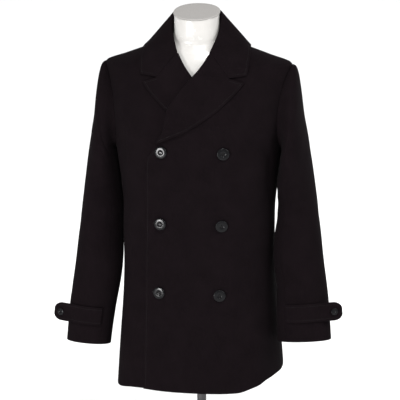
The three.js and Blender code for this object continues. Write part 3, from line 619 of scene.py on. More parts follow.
def woven(name, colour):
    """Plain close cloth stretched over the neck cap."""
    look, tree, shader, place = shader_of(name)
    bands = {"Vector": place, "Scale": 420, "Distortion": 0.6, "Detail": 1}
    warp, weft = (node(tree, "ShaderNodeTexWave", bands, bands_direction=way).outputs["Fac"] for way in "XY")
    weave = node(tree, "ShaderNodeMath", {0: warp, 1: weft}, operation="MAXIMUM").outputs[0]
    slub = noise(tree, place, 240, 3, 0.6)
    base = ramp(tree, weave, (0.2, scaled(colour, 0.86)), (0.8, colour))
    thicker = ramp(tree, slub, (0.4, (0, 0, 0)), (0.8, (0.35,) * 3))
    fill(tree, shader, {
        "Base Color": blend_colours(tree, thicker, base, scaled(colour, 1.1)),
        "Normal": bumps(tree, (weave, 0.35, 0.0003), (slub, 0.2, 0.0003)),
        "Roughness": 0.8,
    })
    return look


def satin_metal(name, colour):
    """Painted metal with a fine orange peel and duller, worn patches."""
    look, tree, shader, place = shader_of(name)
    orange_peel, wear = noise(tree, place, 520, 2, 0.5), noise(tree, place, 26, 5, 0.65)
    fill(tree, shader, {
        "Base Color": ramp(tree, wear, (0.3, scaled(colour, 0.8)), (0.7, scaled(colour, 1.15))),
        "Roughness": ramp(tree, wear, (0.3, (0.36,) * 3), (0.75, (0.5,) * 3)),
        "Normal": bumps(tree, (orange_peel, 0.15, 0.0002)),
        "Metallic": 0.6,
    })
    return look


def pale_floor(name):
    """Pale matt paper."""
    look, tree, shader, place = shader_of(name)
    grain = noise(tree, place, 8, 3, 0.6)
    fill(tree, shader, {
        "Base Color": ramp(tree, grain, (0.3, (0.9,) * 3), (0.7, (0.93,) * 3)),
        "Roughness": 0.9,
        "Specular IOR Level": 0.1,
    })
    return look


LOOKS = {}


def look_of(name, make, *facts):
    if name not in LOOKS:
        LOOKS[name] = make(name, *facts)
    return LOOKS[name]


def wool():
    coat = bpy.context.scene.coat_cloth
    return look_of("black_melton", melton, tuple(coat.colour), coat.fuzz)


def thread():
    return look_of("black_thread", sewing_thread, tuple(bpy.context.scene.coat_sewing.colour))


# ---- pieces


def cloth_piece(name, outer, inner, nodes):
    piece = cloth_wall(name, outer, inner, wool())
    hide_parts(*nodes)
    return piece


ARM_ROWS = 73


def body_rows():
    """Rows up a panel: heights at the side and away from it, and how far the armhole cuts in."""
    skirt = spaced(ARM_LOW, 5.5, True, False)[:-1] * ARM_LOW
    share = np.linspace(0, 1, ARM_ROWS)
    turn = np.radians(180 * (1 - share))
    beside = (1 + np.cos(turn)) / 2 * (ARM_HIGH - ARM_LOW) + ARM_LOW
    arm = beside, mix(ARM_LOW, ARM_HIGH, share), ARM_SPAN * np.sin(turn)
    shoulder = (spaced(NECK_H - ARM_HIGH, 4, False, True) * (NECK_H - ARM_HIGH) + ARM_HIGH)[1:]
    level = [np.concatenate([skirt, arm[k], shoulder]) for k in (0, 1)]
    cut = np.concatenate([skirt * 0, arm[2], shoulder * 0])
    return level[0][:, None], level[1][:, None], cut[:, None]


SEAM_ANGLE = 0.02
ARM_REACH = 55


def front_grid():
    side_h, far_h, cut = body_rows()
    first = cut + SEAM_ANGLE
    last = angle_of(1, front_end(far_h), far_h)
    local = mix(first, last, spaced(330, 4.4)[None, :])
    return local, mix(side_h, far_h, smooth((local - first) / ARM_REACH)), far_h


def build_fronts():
    runs = []
    for side, name in SIDES:
        local, h, far = front_grid()
        degrees = local if side > 0 else 180 - local
        surface = on_front(side)
        flat = surface(degrees, h)
        edge = 1 - smooth((far - 560) / 50)
        face, lining = edge_relief(
            flat, CLOTH,
            {"left": ("seam", 1), "high": ("seam", 1), "low": ("plain", 1), "right": ("sewn", edge)},
        )
        outer, inner = surface(degrees, h, -face), surface(degrees, h, lining - CLOTH)
        cloth_piece(f"front_{name}_cloth", outer, inner, [f"front_{name}"])
        sewn = (far[:, 0] < 592) & (h[:, -1] > 4)
        runs.append(sewn_line(flat, "right", -side, sewn))
    sew("front_edge_stitching", runs, thread())


def build_back():
    side_h, far_h, cut = body_rows()
    opened = cut + SEAM_ANGLE
    along = mix(opened, 180 - opened, spaced(560, 4.6)[None, :])
    h = mix(side_h, far_h, smooth((np.minimum(along, 180 - along) - opened) / ARM_REACH))
    dip = 9 * np.sin(np.radians(along)) ** 2 * smooth((h - 770) / (NECK_H - 770))
    degrees, h = 180 + along, h - dip
    flat = body_out(degrees, h)
    face, lining = edge_relief(
        flat, CLOTH, {"left": ("seam", 1), "right": ("seam", 1), "high": ("seam", 1), "low": ("plain", 1)}
    )
    cloth_piece("back_cloth", body_out(degrees, h, -face), body_out(degrees, h, lining - CLOTH), ["back"])


LAPEL_NOTCH = 4 / 7
SOFT = 2.5  # how far a lapel stays off the front beside its roll
STANDS_OFF, STANDS_TO = 2.6, 0.8  # how far the upper lapel's edge stands off near its break, and up to where
COVERED = 27
LOWER_START = 0.57


def lapel_place(q, r):
    roll_h = mix(BREAK_H + 3, GORGE[1] - 0.2, r)
    roll_x = read(ROLL, "x", roll_h) + 0.5
    x = mix(roll_x, read(LAPEL_EDGE, "x", r), q)
    h = mix(roll_h, read(LAPEL_EDGE, "h", r), q)
    bend = np.where(q < LAPEL_NOTCH, q / LAPEL_NOTCH, (1 - q) / (1 - LAPEL_NOTCH))
    pull = np.maximum(bend, 0) * smooth((r - 0.6) / 0.4)
    x = x + (NOTCH[0] - mix(GORGE[0], LAPEL_EDGE["x"][-1], LAPEL_NOTCH)) * pull
    h = h + (NOTCH[1] - 0.5 - mix(GORGE[1] - 1, LAPEL_EDGE["h"][-1], LAPEL_NOTCH)) * pull
    return x, h


def lower_start(r):
    steps = np.arange(101) / 100
    x, h = lapel_place(steps[None, :], r)
    shown = x >= -read(ROLL, "x", h) - COVERED
    return np.where(shown.any(axis=1), steps[np.argmax(shown, axis=1)], 1)[:, None]


ROLL_TURNS = np.radians((178, 156, 132, 106, 80, 56, 36, 18, 6))


def build_lapels():
    runs = []
    for side, name in SIDES:
        first = 0.02 if side > 0 else LOWER_START
        soft = SOFT if side > 0 else 0.4 * SOFT
        r = mix(first, 1, spaced(300 if side > 0 else 130, 3.4)[:, None])
        start = 0 * r if side > 0 else lower_start(r)
        q = mix(start, 1, spaced(150, 3.2, False, True)[None, :])
        x, h = lapel_place(q, r)
        # near its break the upper lapel stands off the front that it has just rolled away from
        under = REST + soft * (1 - q) ** 2
        if side > 0:
            under = under + STANDS_OFF * q * q * (1 - smooth(r / STANDS_TO))
        flat = front_out(side, x, h, under)
        free_top = smooth((q - LAPEL_NOTCH) / 0.05)
        face, lining = edge_relief(
            flat, TURNED, {"right": ("sewn", 1), "high": ("sewn", free_top), "low": ("plain", 1)}
        )
        outer = front_out(side, x, h, under + TURNED - face)
        inner = front_out(side, x, h, under + lining)
        # the cloth rolls over from the inside of the front: it turns round the front's own edge
        rolls = 1 - smooth(start / 0.04)
        top, low = under[:, :1] + TURNED, mix(under[:, :1] + 0.3, -CLOTH - 2.2, rolls)
        turn = ROLL_TURNS[None, :]
        away = mix(low, top, (1 + np.cos(turn)) / 2)
        bulge = mix(0.8, 3.4, rolls) * np.sin(turn)
        rolled = front_out(side, x[:, :1] - bulge, h[:, :1] + 0 * turn, away - face[:, :1] * np.cos(turn / 2))
        low_in, top_in = mix(under[:, :1] + 0.2, -CLOTH - 0.2, rolls), under[:, :1]
        away_in = mix(low_in, top_in, (1 + np.cos(turn)) / 2)
        rolled_in = front_out(side, x[:, :1] - 0.25 * bulge, h[:, :1] + 0 * turn, away_in)
        outer, inner = np.concatenate([rolled, outer], axis=1), np.concatenate([rolled_in, inner], axis=1)
        cloth_piece(f"lapel_{name}_cloth", outer, inner, [f"lapel_{name}"])
        surface = front_out(side, x, h, under + TURNED)
        open_rows = (start[:, 0] < 0.9) & (r[:, 0] > 0.04 if side > 0 else r[:, 0] > 0.6)
        runs.append(sewn_line(surface, "right", -side, open_rows))
        runs.append(sewn_line(surface, "high", -side, q[-1] > LAPEL_NOTCH + 0.03))
    sew("lapel_stitching", runs, thread())


def body_share(p):
    h = p[..., 2] - HEM_Z
    mid = read(BODY, "mid", h)
    f = -p[..., 1] - mid
    n = squareness(h, f >= 0)
    reach = np.where(f >= 0, read(BODY, "front", h) - mid, read(BODY, "back", h) + mid)
    return ((np.abs(p[..., 0]) / read(BODY, "half", h)) ** n + (np.abs(f) / reach) ** n) ** (1 / n)


def clear_of_body(p, gap):
    for _ in range(8):
        slope = [
            (body_share(p + step) - body_share(p - step)) / 0.4 for step in 0.2 * np.eye(3)
        ]
        normal = np.stack(slope, -1)
        steep = np.linalg.norm(normal, axis=-1)
        away = (body_share(p) - 1) / steep
        move = np.where((away < gap) & (p[..., 2] < HEM_Z + NECK_H - 0.5), (gap - away) / steep, 0)
        p = p + normal * move[..., None]
    return p


def shoulder_height(x, f):
    low, high = np.full(np.shape(x), 620.0), np.full(np.shape(x), float(NECK_H))
    for _ in range(30):
        h = (low + high) / 2
        inside = body_share(stack(x, -f, HEM_Z + h)) < 1
        low, high = np.where(inside, h, low), np.where(inside, high, h)
    return low


FALL_NOTCH = 3 / 5
FALL_ON_FRONT = 0.72


def gorge_point(side, v):
    def place(k):
        below = mix(GORGE[k] + 0.2, NOTCH[k], v / FALL_NOTCH)
        above = mix(NOTCH[k], COLLAR_POINT[k], (v - FALL_NOTCH) / (1 - FALL_NOTCH))
        return np.where(v < FALL_NOTCH, below, above)

    return front_out(side, place(0), place(1), REST + SOFT * (1 - v) ** 2)


def fall_point(s, v):
    s, v = np.broadcast_arrays(s, v)
    side, k = np.where(s < 0, -1, 1), np.abs(s)
    fold = [read(FOLD_LINE, c, k) for c in "xfh"]
    edge = [read(COLLAR_EDGE, c, k) for c in "xf"]
    edge_h = shoulder_height(*edge) + REST
    p = stack(
        side * mix(fold[0], edge[0], v), -mix(fold[1], edge[1], v),
        HEM_Z + mix(fold[2], edge_h, v) + 3 * np.sin(np.pi * v) * (1 - k),
    )
    on_gorge = smooth((k - FALL_ON_FRONT) / (1 - FALL_ON_FRONT))[..., None]
    p = mix(p, gorge_point(side, np.maximum(v, 0)), on_gorge)
    return clear_of_body(p, REST + 1.2 + lift(side, side * p[..., 0], p[..., 2] - HEM_Z))


fall_out = offset(fall_point, 1, 0.02, 0.06)


def stand_point(s, v, inward):
    """A point up the collar's stand, a distance towards the neck from its own line."""
    side, k = np.where(s < 0, -1, 1), np.abs(s)
    foot = [read(STAND_FOOT, c, k) for c in "xfh"]
    fold = [read(FOLD_LINE, c, k) for c in "xfh"]
    to_neck = unit(stack(fold[0], fold[1] - 26))
    x = mix(foot[0], fold[0], v) - to_neck[..., 0] * inward
    f = mix(foot[1], fold[1], v) - to_neck[..., 1] * inward
    return stack(side * x, -f, HEM_Z + mix(foot[2], fold[2] - 5 * (1 - smooth((k - 0.8) / 0.2)), v))


def bezier(a, b, c, d, t):
    t = np.asarray(t)[None, :, None]
    return a * (1 - t) ** 3 + 3 * b * t * (1 - t) ** 2 + 3 * c * t * t * (1 - t) + d * t**3


# Distances of the collar stand's two faces from its own line towards the neck, the inner one less at its ends,
# and how far the fold reaches up over each
STAND_IN, STAND_IN_LESS, STAND_OUT = 2.4, 0.5, -1.9
FOLD_REACH, FOLD_REACH_UNDER = 4.6, 1.2


def build_collar():
    """Stand, fold and fall are one cloth: it goes up from the neck seam, turns over and lies on the shoulders."""
    s = (spaced(560, 3.6) * 2 - 1)[:, None]
    v = spaced(100, 3.2, False, True)[None, :]
    flat = fall_out(s, v)
    k = np.abs(s)
    free = smooth((v - FALL_NOTCH) / 0.06)
    face, lining = edge_relief(
        flat, TURNED, {"right": ("sewn", 1), "low": ("sewn", free), "high": ("sewn", free)}
    )
    top, under = fall_out(s, v, face - TURNED), fall_out(s, v, -lining)
    # the fall's upper face is on the far side of its points, so its thickness counts down
    up = np.linspace(0, 1, 14)[None, :]
    neck_side = stand_point(s, up, STAND_IN - STAND_IN_LESS * smooth((k - 0.7) / 0.3))
    outside = stand_point(s, up, STAND_OUT)
    a, d = neck_side[:, -1:], top[:, :1]
    away = unit(top[:, 1:2] - top[:, :1])
    upward = unit(neck_side[:, -1:] - neck_side[:, -2:-1])
    turn = np.linspace(0, 1, 12)[1:-1]
    fold_top = bezier(a, a + upward * FOLD_REACH, d - away * FOLD_REACH, d, turn)
    a2, d2 = outside[:, -1:], under[:, :1]
    fold_under = bezier(a2, a2 + upward * FOLD_REACH_UNDER, d2 - away * FOLD_REACH_UNDER, d2, turn)
    outer = np.concatenate([neck_side, fold_top, top], axis=1)
    inner = np.concatenate([outside, fold_under, under], axis=1)
    cloth_piece(
        "collar_cloth", outer, inner, ["collar_fall", "collar_stand"]
    )
    surface = fall_out(s, v, -TURNED)
    runs = [
        sewn_line(surface, "right", 1),
        sewn_line(surface, "low", 1, v[0] > FALL_NOTCH + 0.04),
        sewn_line(surface, "high", 1, v[0] > FALL_NOTCH + 0.04),
    ]
    sew("collar_stitching", runs, thread())


# ---- sleeves

def armhole_point(degrees, away):
    tuck = 0.992
    h = mix(ARM_LOW, ARM_HIGH, (1 + np.cos(np.radians(degrees)) * tuck) / 2)
    return body_out(ARM_SPAN * np.sin(np.radians(degrees)) * tuck, h, away)


def sleeve_point(side, degrees, t):
    degrees, t = np.broadcast_arrays(np.asarray(degrees, float), np.asarray(t, float))
    c, s = np.cos(np.radians(degrees)), np.sin(np.radians(degrees))
    row = {k: read(SLEEVE, k, t) for k in SLEEVE if k != "t"}
    across = (1 + power(c, 2 / 2.15)) / 2
    depth = power(s, 2 / 2.15) * np.where(s >= 0, row["fore"], row["aft"])
    crease = 0
    for at_t, at_angle, along, round_it, twist, deep in SLEEVE_CREASES:
        turn = turn_between(degrees, at_angle)
        shift = t - at_t - twist * turn
        crease = crease + deep * np.exp(-((shift / along) ** 2) - (turn / round_it) ** 2)
    lean = np.radians(row["lean"])
    near = NEAR_LEFT if side > 0 else NEAR_RIGHT
    x = mix(row["ix"] - read(near, "inward", t), row["ox"], across) + crease * c
    y = -(row["mid"] + read(near, "fore", t) * (1 - across) + (depth + crease * s) * np.cos(lean))
    z = HEM_Z + mix(row["ih"], row["oh"], across) + depth * np.sin(lean)
    z = z + side * RAISE * smooth((t - 0.3) / 0.55)
    x = x - side * SWAY * (1 - across) * smooth((t - 0.7) / 0.3)
    rolled = np.minimum(1, np.maximum(0, t) / mix(ROLL_CROWN, ROLL_SIDES, s * s))
    away = 0.5 + np.minimum(0, t) * 250
    p = mix(stack(x, y, z), armhole_point(degrees, away), ((1 - rolled) ** 2)[..., None])
    return p * np.array([side, 1, 1])


def sleeve_out(side):
    return offset(lambda degrees, t: sleeve_point(side, degrees, t), -side, 1, 0.006)


def build_sleeves():
    seam = 0.04
    parts = (
        ("top", BACK_SEAM - 360 + seam, FRONT_SEAM - seam, 300),
        ("under", FRONT_SEAM + seam, BACK_SEAM - seam, 200),
    )
    for side, name in SIDES:
        surface = sleeve_out(side)
        for part, first, last, girth in parts:
            degrees = mix(first, last, spaced(girth, 4.2)[None, :])
            even = spaced(620, 5, False, True)
            t = np.concatenate([[-0.02, -0.01], mix(even * even, even, 0.55)])[:, None]
            flat = surface(degrees, t)
            face, lining = edge_relief(
                flat, SLEEVE_CLOTH, {"left": ("seam", 0.8), "right": ("seam", 0.8), "high": ("plain", 1)}
            )
            outer, inner = surface(degrees, t, -face), surface(degrees, t, lining - SLEEVE_CLOTH)
            cloth_piece(
                f"sleeve_{part}_{name}_cloth", outer, inner, [f"sleeve_{part}_{name}"]
            )


STRAP = {"t": 0.888, "start": 122, "leave": 50, "beyond": 31, "point": 20, "bow": 4, "back": 0.25, "on": 0.62}


def strap_point(side, along, w):
    along, w = np.broadcast_arrays(np.asarray(along, float), np.asarray(w, float))
    sleeve = sleeve_out(side)
    t = STRAP["t"]

    def place(degrees, share):
        degrees = degrees + 0 * w
        down = unit(sleeve_point(side, degrees, t + 0.02) - sleeve_point(side, degrees, t - 0.02))
        return sleeve(degrees, t + 0 * w, REST - 0.1) + down * (w * STRAP_WIDTH * share)[..., None]

    out = np.maximum(0, (along - STRAP["on"]) / (1 - STRAP["on"]))
    on_sleeve = place(mix(STRAP["start"], STRAP["leave"], np.minimum(along, STRAP["on"]) / STRAP["on"]), 1 + 0 * w)
    leaving = sleeve(np.float64(STRAP["leave"]), np.float64(t), REST - 0.1)
    reach = side * (sleeve_point(side, 0.0, t)[0] - leaving[0]) + STRAP["beyond"]
    from_tip = np.minimum(1, np.maximum(0, reach * (1 - out)) / STRAP["point"])
    taper = mix(0.26, 1, np.sqrt(1 - (1 - from_tip) ** 2))
    p = place(np.float64(STRAP["leave"]), taper)
    p = p + stack(side * reach * out, reach * out * STRAP["back"] + STRAP["bow"] * out * out, 0 * out)
    return np.where((along > STRAP["on"])[..., None], p, on_sleeve)


def strap_out(side):
    return offset(lambda u, w: strap_point(side, np.minimum(u, 1.03), w), side, 0.03, 0.1)


def build_straps():
    runs = []
    for side, name in SIDES:
        surface = strap_out(side)
        u = spaced(130, 1.9)[None, :]
        w = spaced(STRAP_WIDTH, 2)[:, None] - 0.5
        flat = surface(u, w)
        face, lining = edge_relief(
            flat, TURNED, {"low": ("sewn", 1), "high": ("sewn", 1), "right": ("sewn", 1), "left": ("seam", 1)}
        )
        cloth_piece(
            f"strap_{name}_cloth", surface(u, w, TURNED - face), surface(u, w, lining), [f"strap_{name}"],
        )
        top = surface(u, w, TURNED)
        middle = (w[:, 0] > -0.38) & (w[:, 0] < 0.38)
        for edge, share in (("low", u[0] < 0.93), ("high", u[0] < 0.93), ("right", middle)):
            runs.append(sewn_line(top, edge, -side, share))
    sew("strap_stitching", runs, thread())


# ---- buttons

def lathe(profile, count):
    """Rings of points turned round +Y from a profile of radius and height."""
    a = np.radians(np.arange(count) * 360 / count)
    return [np.stack([r * np.cos(a), np.full(count, float(y)), r * np.sin(a)], -1) for r, y in profile]


def ring_mesh(rings):
    """A closed body of rings, with its first and last rings filled across."""
    count = len(rings[0])
    points, faces = np.concatenate(rings), []
    for i in range(len(rings) - 1):
        for j in range(count):
            a, b = i * count + j, i * count + (j + 1) % count
            faces.append([a, b, b + count, a + count])
    last = (len(rings) - 1) * count
    points = np.concatenate([points, [rings[0].mean(0), rings[-1].mean(0)]])
    for j in range(count):
        k = (j + 1) % count
        faces += [[len(points) - 2, k, j], [len(points) - 1, last + j, last + k]]
    return points, turned_out(points, faces)


# A button from its back to the middle of its face: shares of its radius and of its thickness
BUTTON_TURNING = (
    (0.02, 0), (0.5, 0), (0.72, 0.02), (0.88, 0.18), (0.97, 0.42), (1, 0.6), (0.996, 0.67), (0.98, 0.735),
    (0.96, 0.83), (0.92, 0.89), (0.84, 0.94), (0.74, 0.97), (0.62, 0.99), (0.5, 1), (0.44, 0.99), (0.4, 0.955),
    (0.37, 0.9), (0.34, 0.84), (0.3, 0.8), (0.2, 0.78), (0.02, 0.78),
)
DISH = 0.78
# Shares of a button's radius: its holes' places and radius, and its thread's radius and distance from the next
HOLE_PLACE, HOLE_R, THREAD_R, THREAD_APART = 0.155, 0.075, 0.03, 0.028


def holes_cut(points, faces, places, radius, depth):
    """A button's mesh with its sewing holes cut through."""
    made = []
    for name, (p, f) in {
        "blank": (points, faces),
        **{
            f"drill_{i}": ring_mesh([ring + [x, 0, z] for ring in lathe([(radius, -1), (radius, depth)], 16)])
            for i, (x, z) in enumerate(places)
        },
    }.items():
        mesh = bpy.data.meshes.new(name)
        mesh.from_pydata(np.asarray(p).tolist(), [], f)
        piece = bpy.data.objects.new(name, mesh)
        bpy.context.collection.objects.link(piece)
        made.append(piece)
    blank = made[0]
    for drill in made[1:]:
        cut = blank.modifiers.new(drill.name, "BOOLEAN")
        cut.operation, cut.object, cut.solver = "DIFFERENCE", drill, "EXACT"
    result = bpy.data.meshes.new_from_object(blank.evaluated_get(bpy.context.evaluated_depsgraph_get()))
    cut_points = np.array([v.co for v in result.vertices])
    cut_faces = [list(f.vertices) for f in result.polygons]
    for piece in made:
        mesh = piece.data
        bpy.data.objects.remove(piece)
        bpy.data.meshes.remove(mesh)
    bpy.data.meshes.remove(result)
    return cut_points, cut_faces


def tube(line, radius, count=8):
    """A round thread along a line, closed at both ends."""
    line = np.asarray(line, float)
    ahead = unit(np.gradient(line, axis=0))
    side = unit(np.cross(ahead, [0.31, 0.93, 0.2]))
    over = np.cross(ahead, side)
    a = np.radians(np.arange(count) * 360 / count)
    return [
        p + radius * (np.outer(np.cos(a), u) + np.outer(np.sin(a), v)) for p, u, v in zip(line, side, over)
    ]


def joined(parts):
    points, faces = [], []
    for p, f in parts:
        faces += [[i + len(points) for i in face] for face in f]
        points += list(p)
    return np.array(points), faces


def button_parts(r, t):
    """A four-hole button and the thread through its holes, with its axis along +Y."""
    points, faces = ring_mesh(lathe([(x * r, y * t) for x, y in BUTTON_TURNING], 64))
    d = HOLE_PLACE * r
    holes = [(x * d, z * d) for x in (-1, 1) for z in (-1, 1)]
    body = holes_cut(points, faces, holes, HOLE_R * r, t + 2)
    bars = []
    for z in (-d, d):
        for shift in (-THREAD_APART * r, THREAD_APART * r):
            line = [
                (x * d, (DISH + y) * t, z + shift)
                for x, y in ((-1, -0.68), (-1, -0.08), (-0.82, 0.06), (-0.4, 0.12), (0, 0.135), (0.4, 0.12),
                             (0.82, 0.06), (1, -0.08), (1, -0.68))
            ]
            bars.append(ring_mesh(tube(line, THREAD_R * r)))
    return body, joined(bars)


def seated(parts, face, beside, above, gap, turn, tilt):
    """Points of a button turned to sit on a surface, tipped a little on its thread."""
    normal = unit(np.cross(beside - face, above - face))
    right = unit(beside - face - normal * np.dot(beside - face, normal))
    lean, swing = math.radians(tilt[0]), math.radians(tilt[1])
    normal = unit(normal + right * math.tan(swing) + np.cross(normal, right) * math.tan(lean))
    right = unit(right - normal * np.dot(right, normal))
    c, s = math.cos(math.radians(turn)), math.sin(math.radians(turn))
    ahead = np.cross(right, normal)
    x, z = right * c + ahead * s, ahead * c - right * s
    return [(p @ np.stack([x, normal, z]) + face + normal * gap, f) for p, f in parts]


def place_button(name, parts, places, gap, turn, tilt=(0, 0)):
    look = bpy.context.scene.coat_buttons
    stock = look_of("button_horn", horn, tuple(look.colour))
    gap = gap + BUTTON_R * math.sin(math.radians(max(map(abs, tilt))))
    body, sewn = seated(parts, *places, gap, turn, tilt)
    button = add_mesh(f"{name}_horn", body[0], turned_out(*body), stock)
    button.data.set_sharp_from_angle(angle=math.radians(42))
    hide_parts(name)
    threads = add_mesh(f"{name}_thread", sewn[0], sewn[1], thread())


BUTTON_TURNS = (8, -14, 21, 4, -9, 16, 30, -22)
# How far each front button is tipped up and to its side, in degrees
BUTTON_TILTS = ((0, 0), (0, 0), (0, 0), (3, 2), (0, 0), (0, 0))


def build_buttons():
    parts = button_parts(BUTTON_R, BUTTON_THICK)
    small = button_parts(CUFF_BUTTON_R, CUFF_BUTTON_THICK)
    turns, tilts = iter(BUTTON_TURNS), iter(BUTTON_TILTS)
    for row, (h, x) in enumerate(BUTTON_ROWS):
        for side, name in SIDES:
            centre = x + side * BUTTON_X
            places = [front_out(1, np.float64(a), np.float64(b), 0.0) for a, b in
                      ((centre, h), (centre + 8, h), (centre, h + 8))]
            place_button(f"button_{name}_{row + 1}", parts, places, SEAM, next(turns), next(tilts))
    for side, name in SIDES:
        surface = strap_out(side)
        places = [surface(np.float64(u), np.float64(w), float(TURNED)) for u, w in
                  ((0.86, 0), (0.86 + side * 0.05, 0), (0.86, -0.2))]
        place_button(f"cuff_button_{name}", small, places, SEAM, next(turns))


# A buttonhole's ends from the middle of its button, and the stitches round it
HOLE_START, HOLE_END, HOLE_STITCHES = 4, 19, 46


def build_buttonholes():
    """Worked buttonholes under the buttons of the overlapping edge: close thread round a slit."""
    parts = []
    for h, x in BUTTON_ROWS:
        centre = x - BUTTON_X
        start, end = centre + HOLE_START, centre - HOLE_END
        for k in range(HOLE_STITCHES):
            a = k / HOLE_STITCHES * 2 * math.pi
            px = mix(start, end, (1 - math.cos(a)) / 2) - 0.6 * math.cos(a)
            pz = h + 1.3 * math.sin(a) * (1 if abs(math.cos(a)) < 0.9 else 0.8)
            wide = 1.25 if math.cos(a) < -0.75 else 1
            here = front_out(1, np.float64(px), np.float64(h + (pz - h) * wide), 0.15)
            there = front_out(1, np.float64(px - 0.9 * math.cos(a)), np.float64(h + (pz - h) * 2.2 * wide), -0.1)
            lifted = (here + there) / 2 + unit(front_out(1, np.float64(px), np.float64(pz), 1.0) - here) * 0.25
            parts.append(ring_mesh(tube([here, lifted, there], 0.34, 6)))
    holes = add_mesh("buttonhole_thread", *joined(parts), thread())


# ---- dress form and stand

FORM_SIDES = 128


def form_point(degrees, h):
    c, s = np.cos(np.radians(degrees)), np.sin(np.radians(degrees))
    mid = read(FORM, "mid", h)
    reach = np.where(s >= 0, read(FORM, "front", h) - mid, read(FORM, "back", h) + mid)
    x, f = read(FORM, "half", h) * power(c, 2 / FORM_N), mid + reach * power(s, 2 / FORM_N)
    slope = math.tan(math.radians(CAP_SLOPE)) * smooth((h - 846) / (CAP_H - 846))
    own = stack(x, -f, HEM_Z + h - (f - 26) * slope)
    under = smooth((h - 700) / 68) * (1 - smooth((h - 808) / 24))
    reach_h = np.minimum(h, NECK_H)
    tip = smooth((np.abs(body_point(degrees, reach_h)[..., 0]) - 150) / 60)
    shell = body_out(degrees, reach_h, -(CLOTH + mix(RIDGE_INSET, TIP_INSET, tip)))
    return mix(own, shell, under[..., None])


def build_form():
    degrees = np.arange(FORM_SIDES) * 360 / FORM_SIDES
    heights = np.concatenate([
        [96, 97.2, 99.5, 103, 108], np.arange(114, 700, 9.0), np.arange(700, 850, 4.0), np.arange(852, 890, 5.0),
        [889.2, 890.6, 891.6],
    ])
    rings = []
    for h in heights:
        ring = form_point(degrees, np.full(FORM_SIDES, float(min(h, 889.7))))
        if h < 103:
            low = ring.mean(0)
            ring = mix(low, ring, 1 - 0.035 * ((103 - h) / 7) ** 2)
            ring[:, 2] = HEM_Z + h
        if h > 889:
            ring = mix(ring.mean(0), ring, 1 - 0.02 * (h - 889) / 2.6)
            ring[:, 2] += h - min(h, 889.7) - 0.3 * (h - 889)
        rings.append(ring)
    form = bpy.context.scene.dress_form
    shell = add_mesh("form_shell", *ring_mesh(rings), look_of("form_gloss", moulded_gloss, tuple(form.colour)))
    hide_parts("form")
    top = form_point(degrees, np.full(FORM_SIDES, float(CAP_H)))
    middle = top.mean(0)

    def cap_ring(share, down, over=0.0):
        ring = mix(middle, top, share)
        ring = ring + unit((ring - middle) * [1, 1, 0]) * over
        ring[:, 2] -= down
        return ring

    rings = [
        cap_ring(0.5, 4), cap_ring(1, 4, -1.5), cap_ring(1, 3.9, 0.8), cap_ring(1, 3.4, 1.7), cap_ring(1, 2.6, 2),
        cap_ring(1, 1.6, 2), cap_ring(1, 0.8, 1.7), cap_ring(1, 0.3, 1), cap_ring(1, 0.05, 0), cap_ring(1, 0, -2),
        cap_ring(0.7, -0.2), cap_ring(0.3, -0.3),
    ]
    cap = add_mesh("neck_cap_cloth", *ring_mesh(rings), look_of("cap_cloth", woven, tuple(form.cap_colour)))
    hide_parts("neck_cap")


SOCKET = 28  # height of the base's collar that the pole stands in


def build_stand():
    stand = bpy.context.scene.coat_stand
    look = look_of("stand_metal", satin_metal, tuple(stand.colour))

    def upright(rings):
        return [ring[:, [0, 2, 1]] * [1, -1, 1] for ring in rings]

    low, high = BASE_THICK + SOCKET + SEAM, HEM_Z + FORM["h"][0] - SEAM
    profile = [(POLE_R - 1, low), (POLE_R - 0.2, low + 0.3), (POLE_R, low + 1), (POLE_R, high - 1),
               (POLE_R - 0.2, high - 0.3), (POLE_R - 1, high)]
    pole = add_mesh("pole_tube", *ring_mesh(upright(lathe(profile, 48))), look)
    foot = [(BASE_R - 2, 0), (BASE_R - 0.5, 0.3), (BASE_R, 1)]
    foot += [(BASE_R, BASE_THICK - 3), (BASE_R - 0.4, BASE_THICK - 1.4), (BASE_R - 1.5, BASE_THICK - 0.4)]
    foot += [(BASE_R - 3, BASE_THICK), (80, BASE_THICK + 0.9), (26, BASE_THICK + 2), (22, BASE_THICK + 3)]
    foot += [(19.6, BASE_THICK + 4.6), (19, BASE_THICK + 7), (19, BASE_THICK + 26), (18.5, BASE_THICK + 27.4)]
    foot += [(17, BASE_THICK + SOCKET), (3, BASE_THICK + SOCKET)]
    base = add_mesh("base_plate", *ring_mesh(upright(lathe(foot, 128))), look)
    for piece, cad in ((pole, "pole"), (base, "base")):
        piece.data.set_sharp_from_angle(angle=math.radians(50))
        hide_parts(cad)


# ---- studio

# Place, point that it shines at, and width and height of each lamp, in metres
LAMPS = {
    "key_light": ((0.25, -1.95, 3.0), (0, -0.1, 0.75), (0.55, 0.55)),
    "window_box": ((-1.22, -2.3, 0.37), (0, -0.13, 0.7), (0.42, 0.54)),
    "side_light": ((2.2, -0.7, 2.1), (0, 0, 0.75), (1.4, 1.4)),
}
FLOOR_HALF = 30
LENS, SENSOR = 142.5, 36
CAMERA_AIM, CAMERA_AWAY = (0, 0, 0.6315), 3.8
CAMERA_AROUND, CAMERA_ABOVE, CAMERA_ROLL = 8, 17, -0.5


def add_lamp(name, energy):
    place, aim, size = LAMPS[name]
    lamp = bpy.data.lights.new(name, "AREA")
    lamp.shape, lamp.size, lamp.size_y, lamp.energy = "RECTANGLE", size[0], size[1], energy
    held = bpy.data.objects.new(name, lamp)
    bpy.context.collection.objects.link(held)
    held.location = place
    held.rotation_euler = (Vector(aim) - Vector(place)).to_track_quat("-Z", "Y").to_euler()


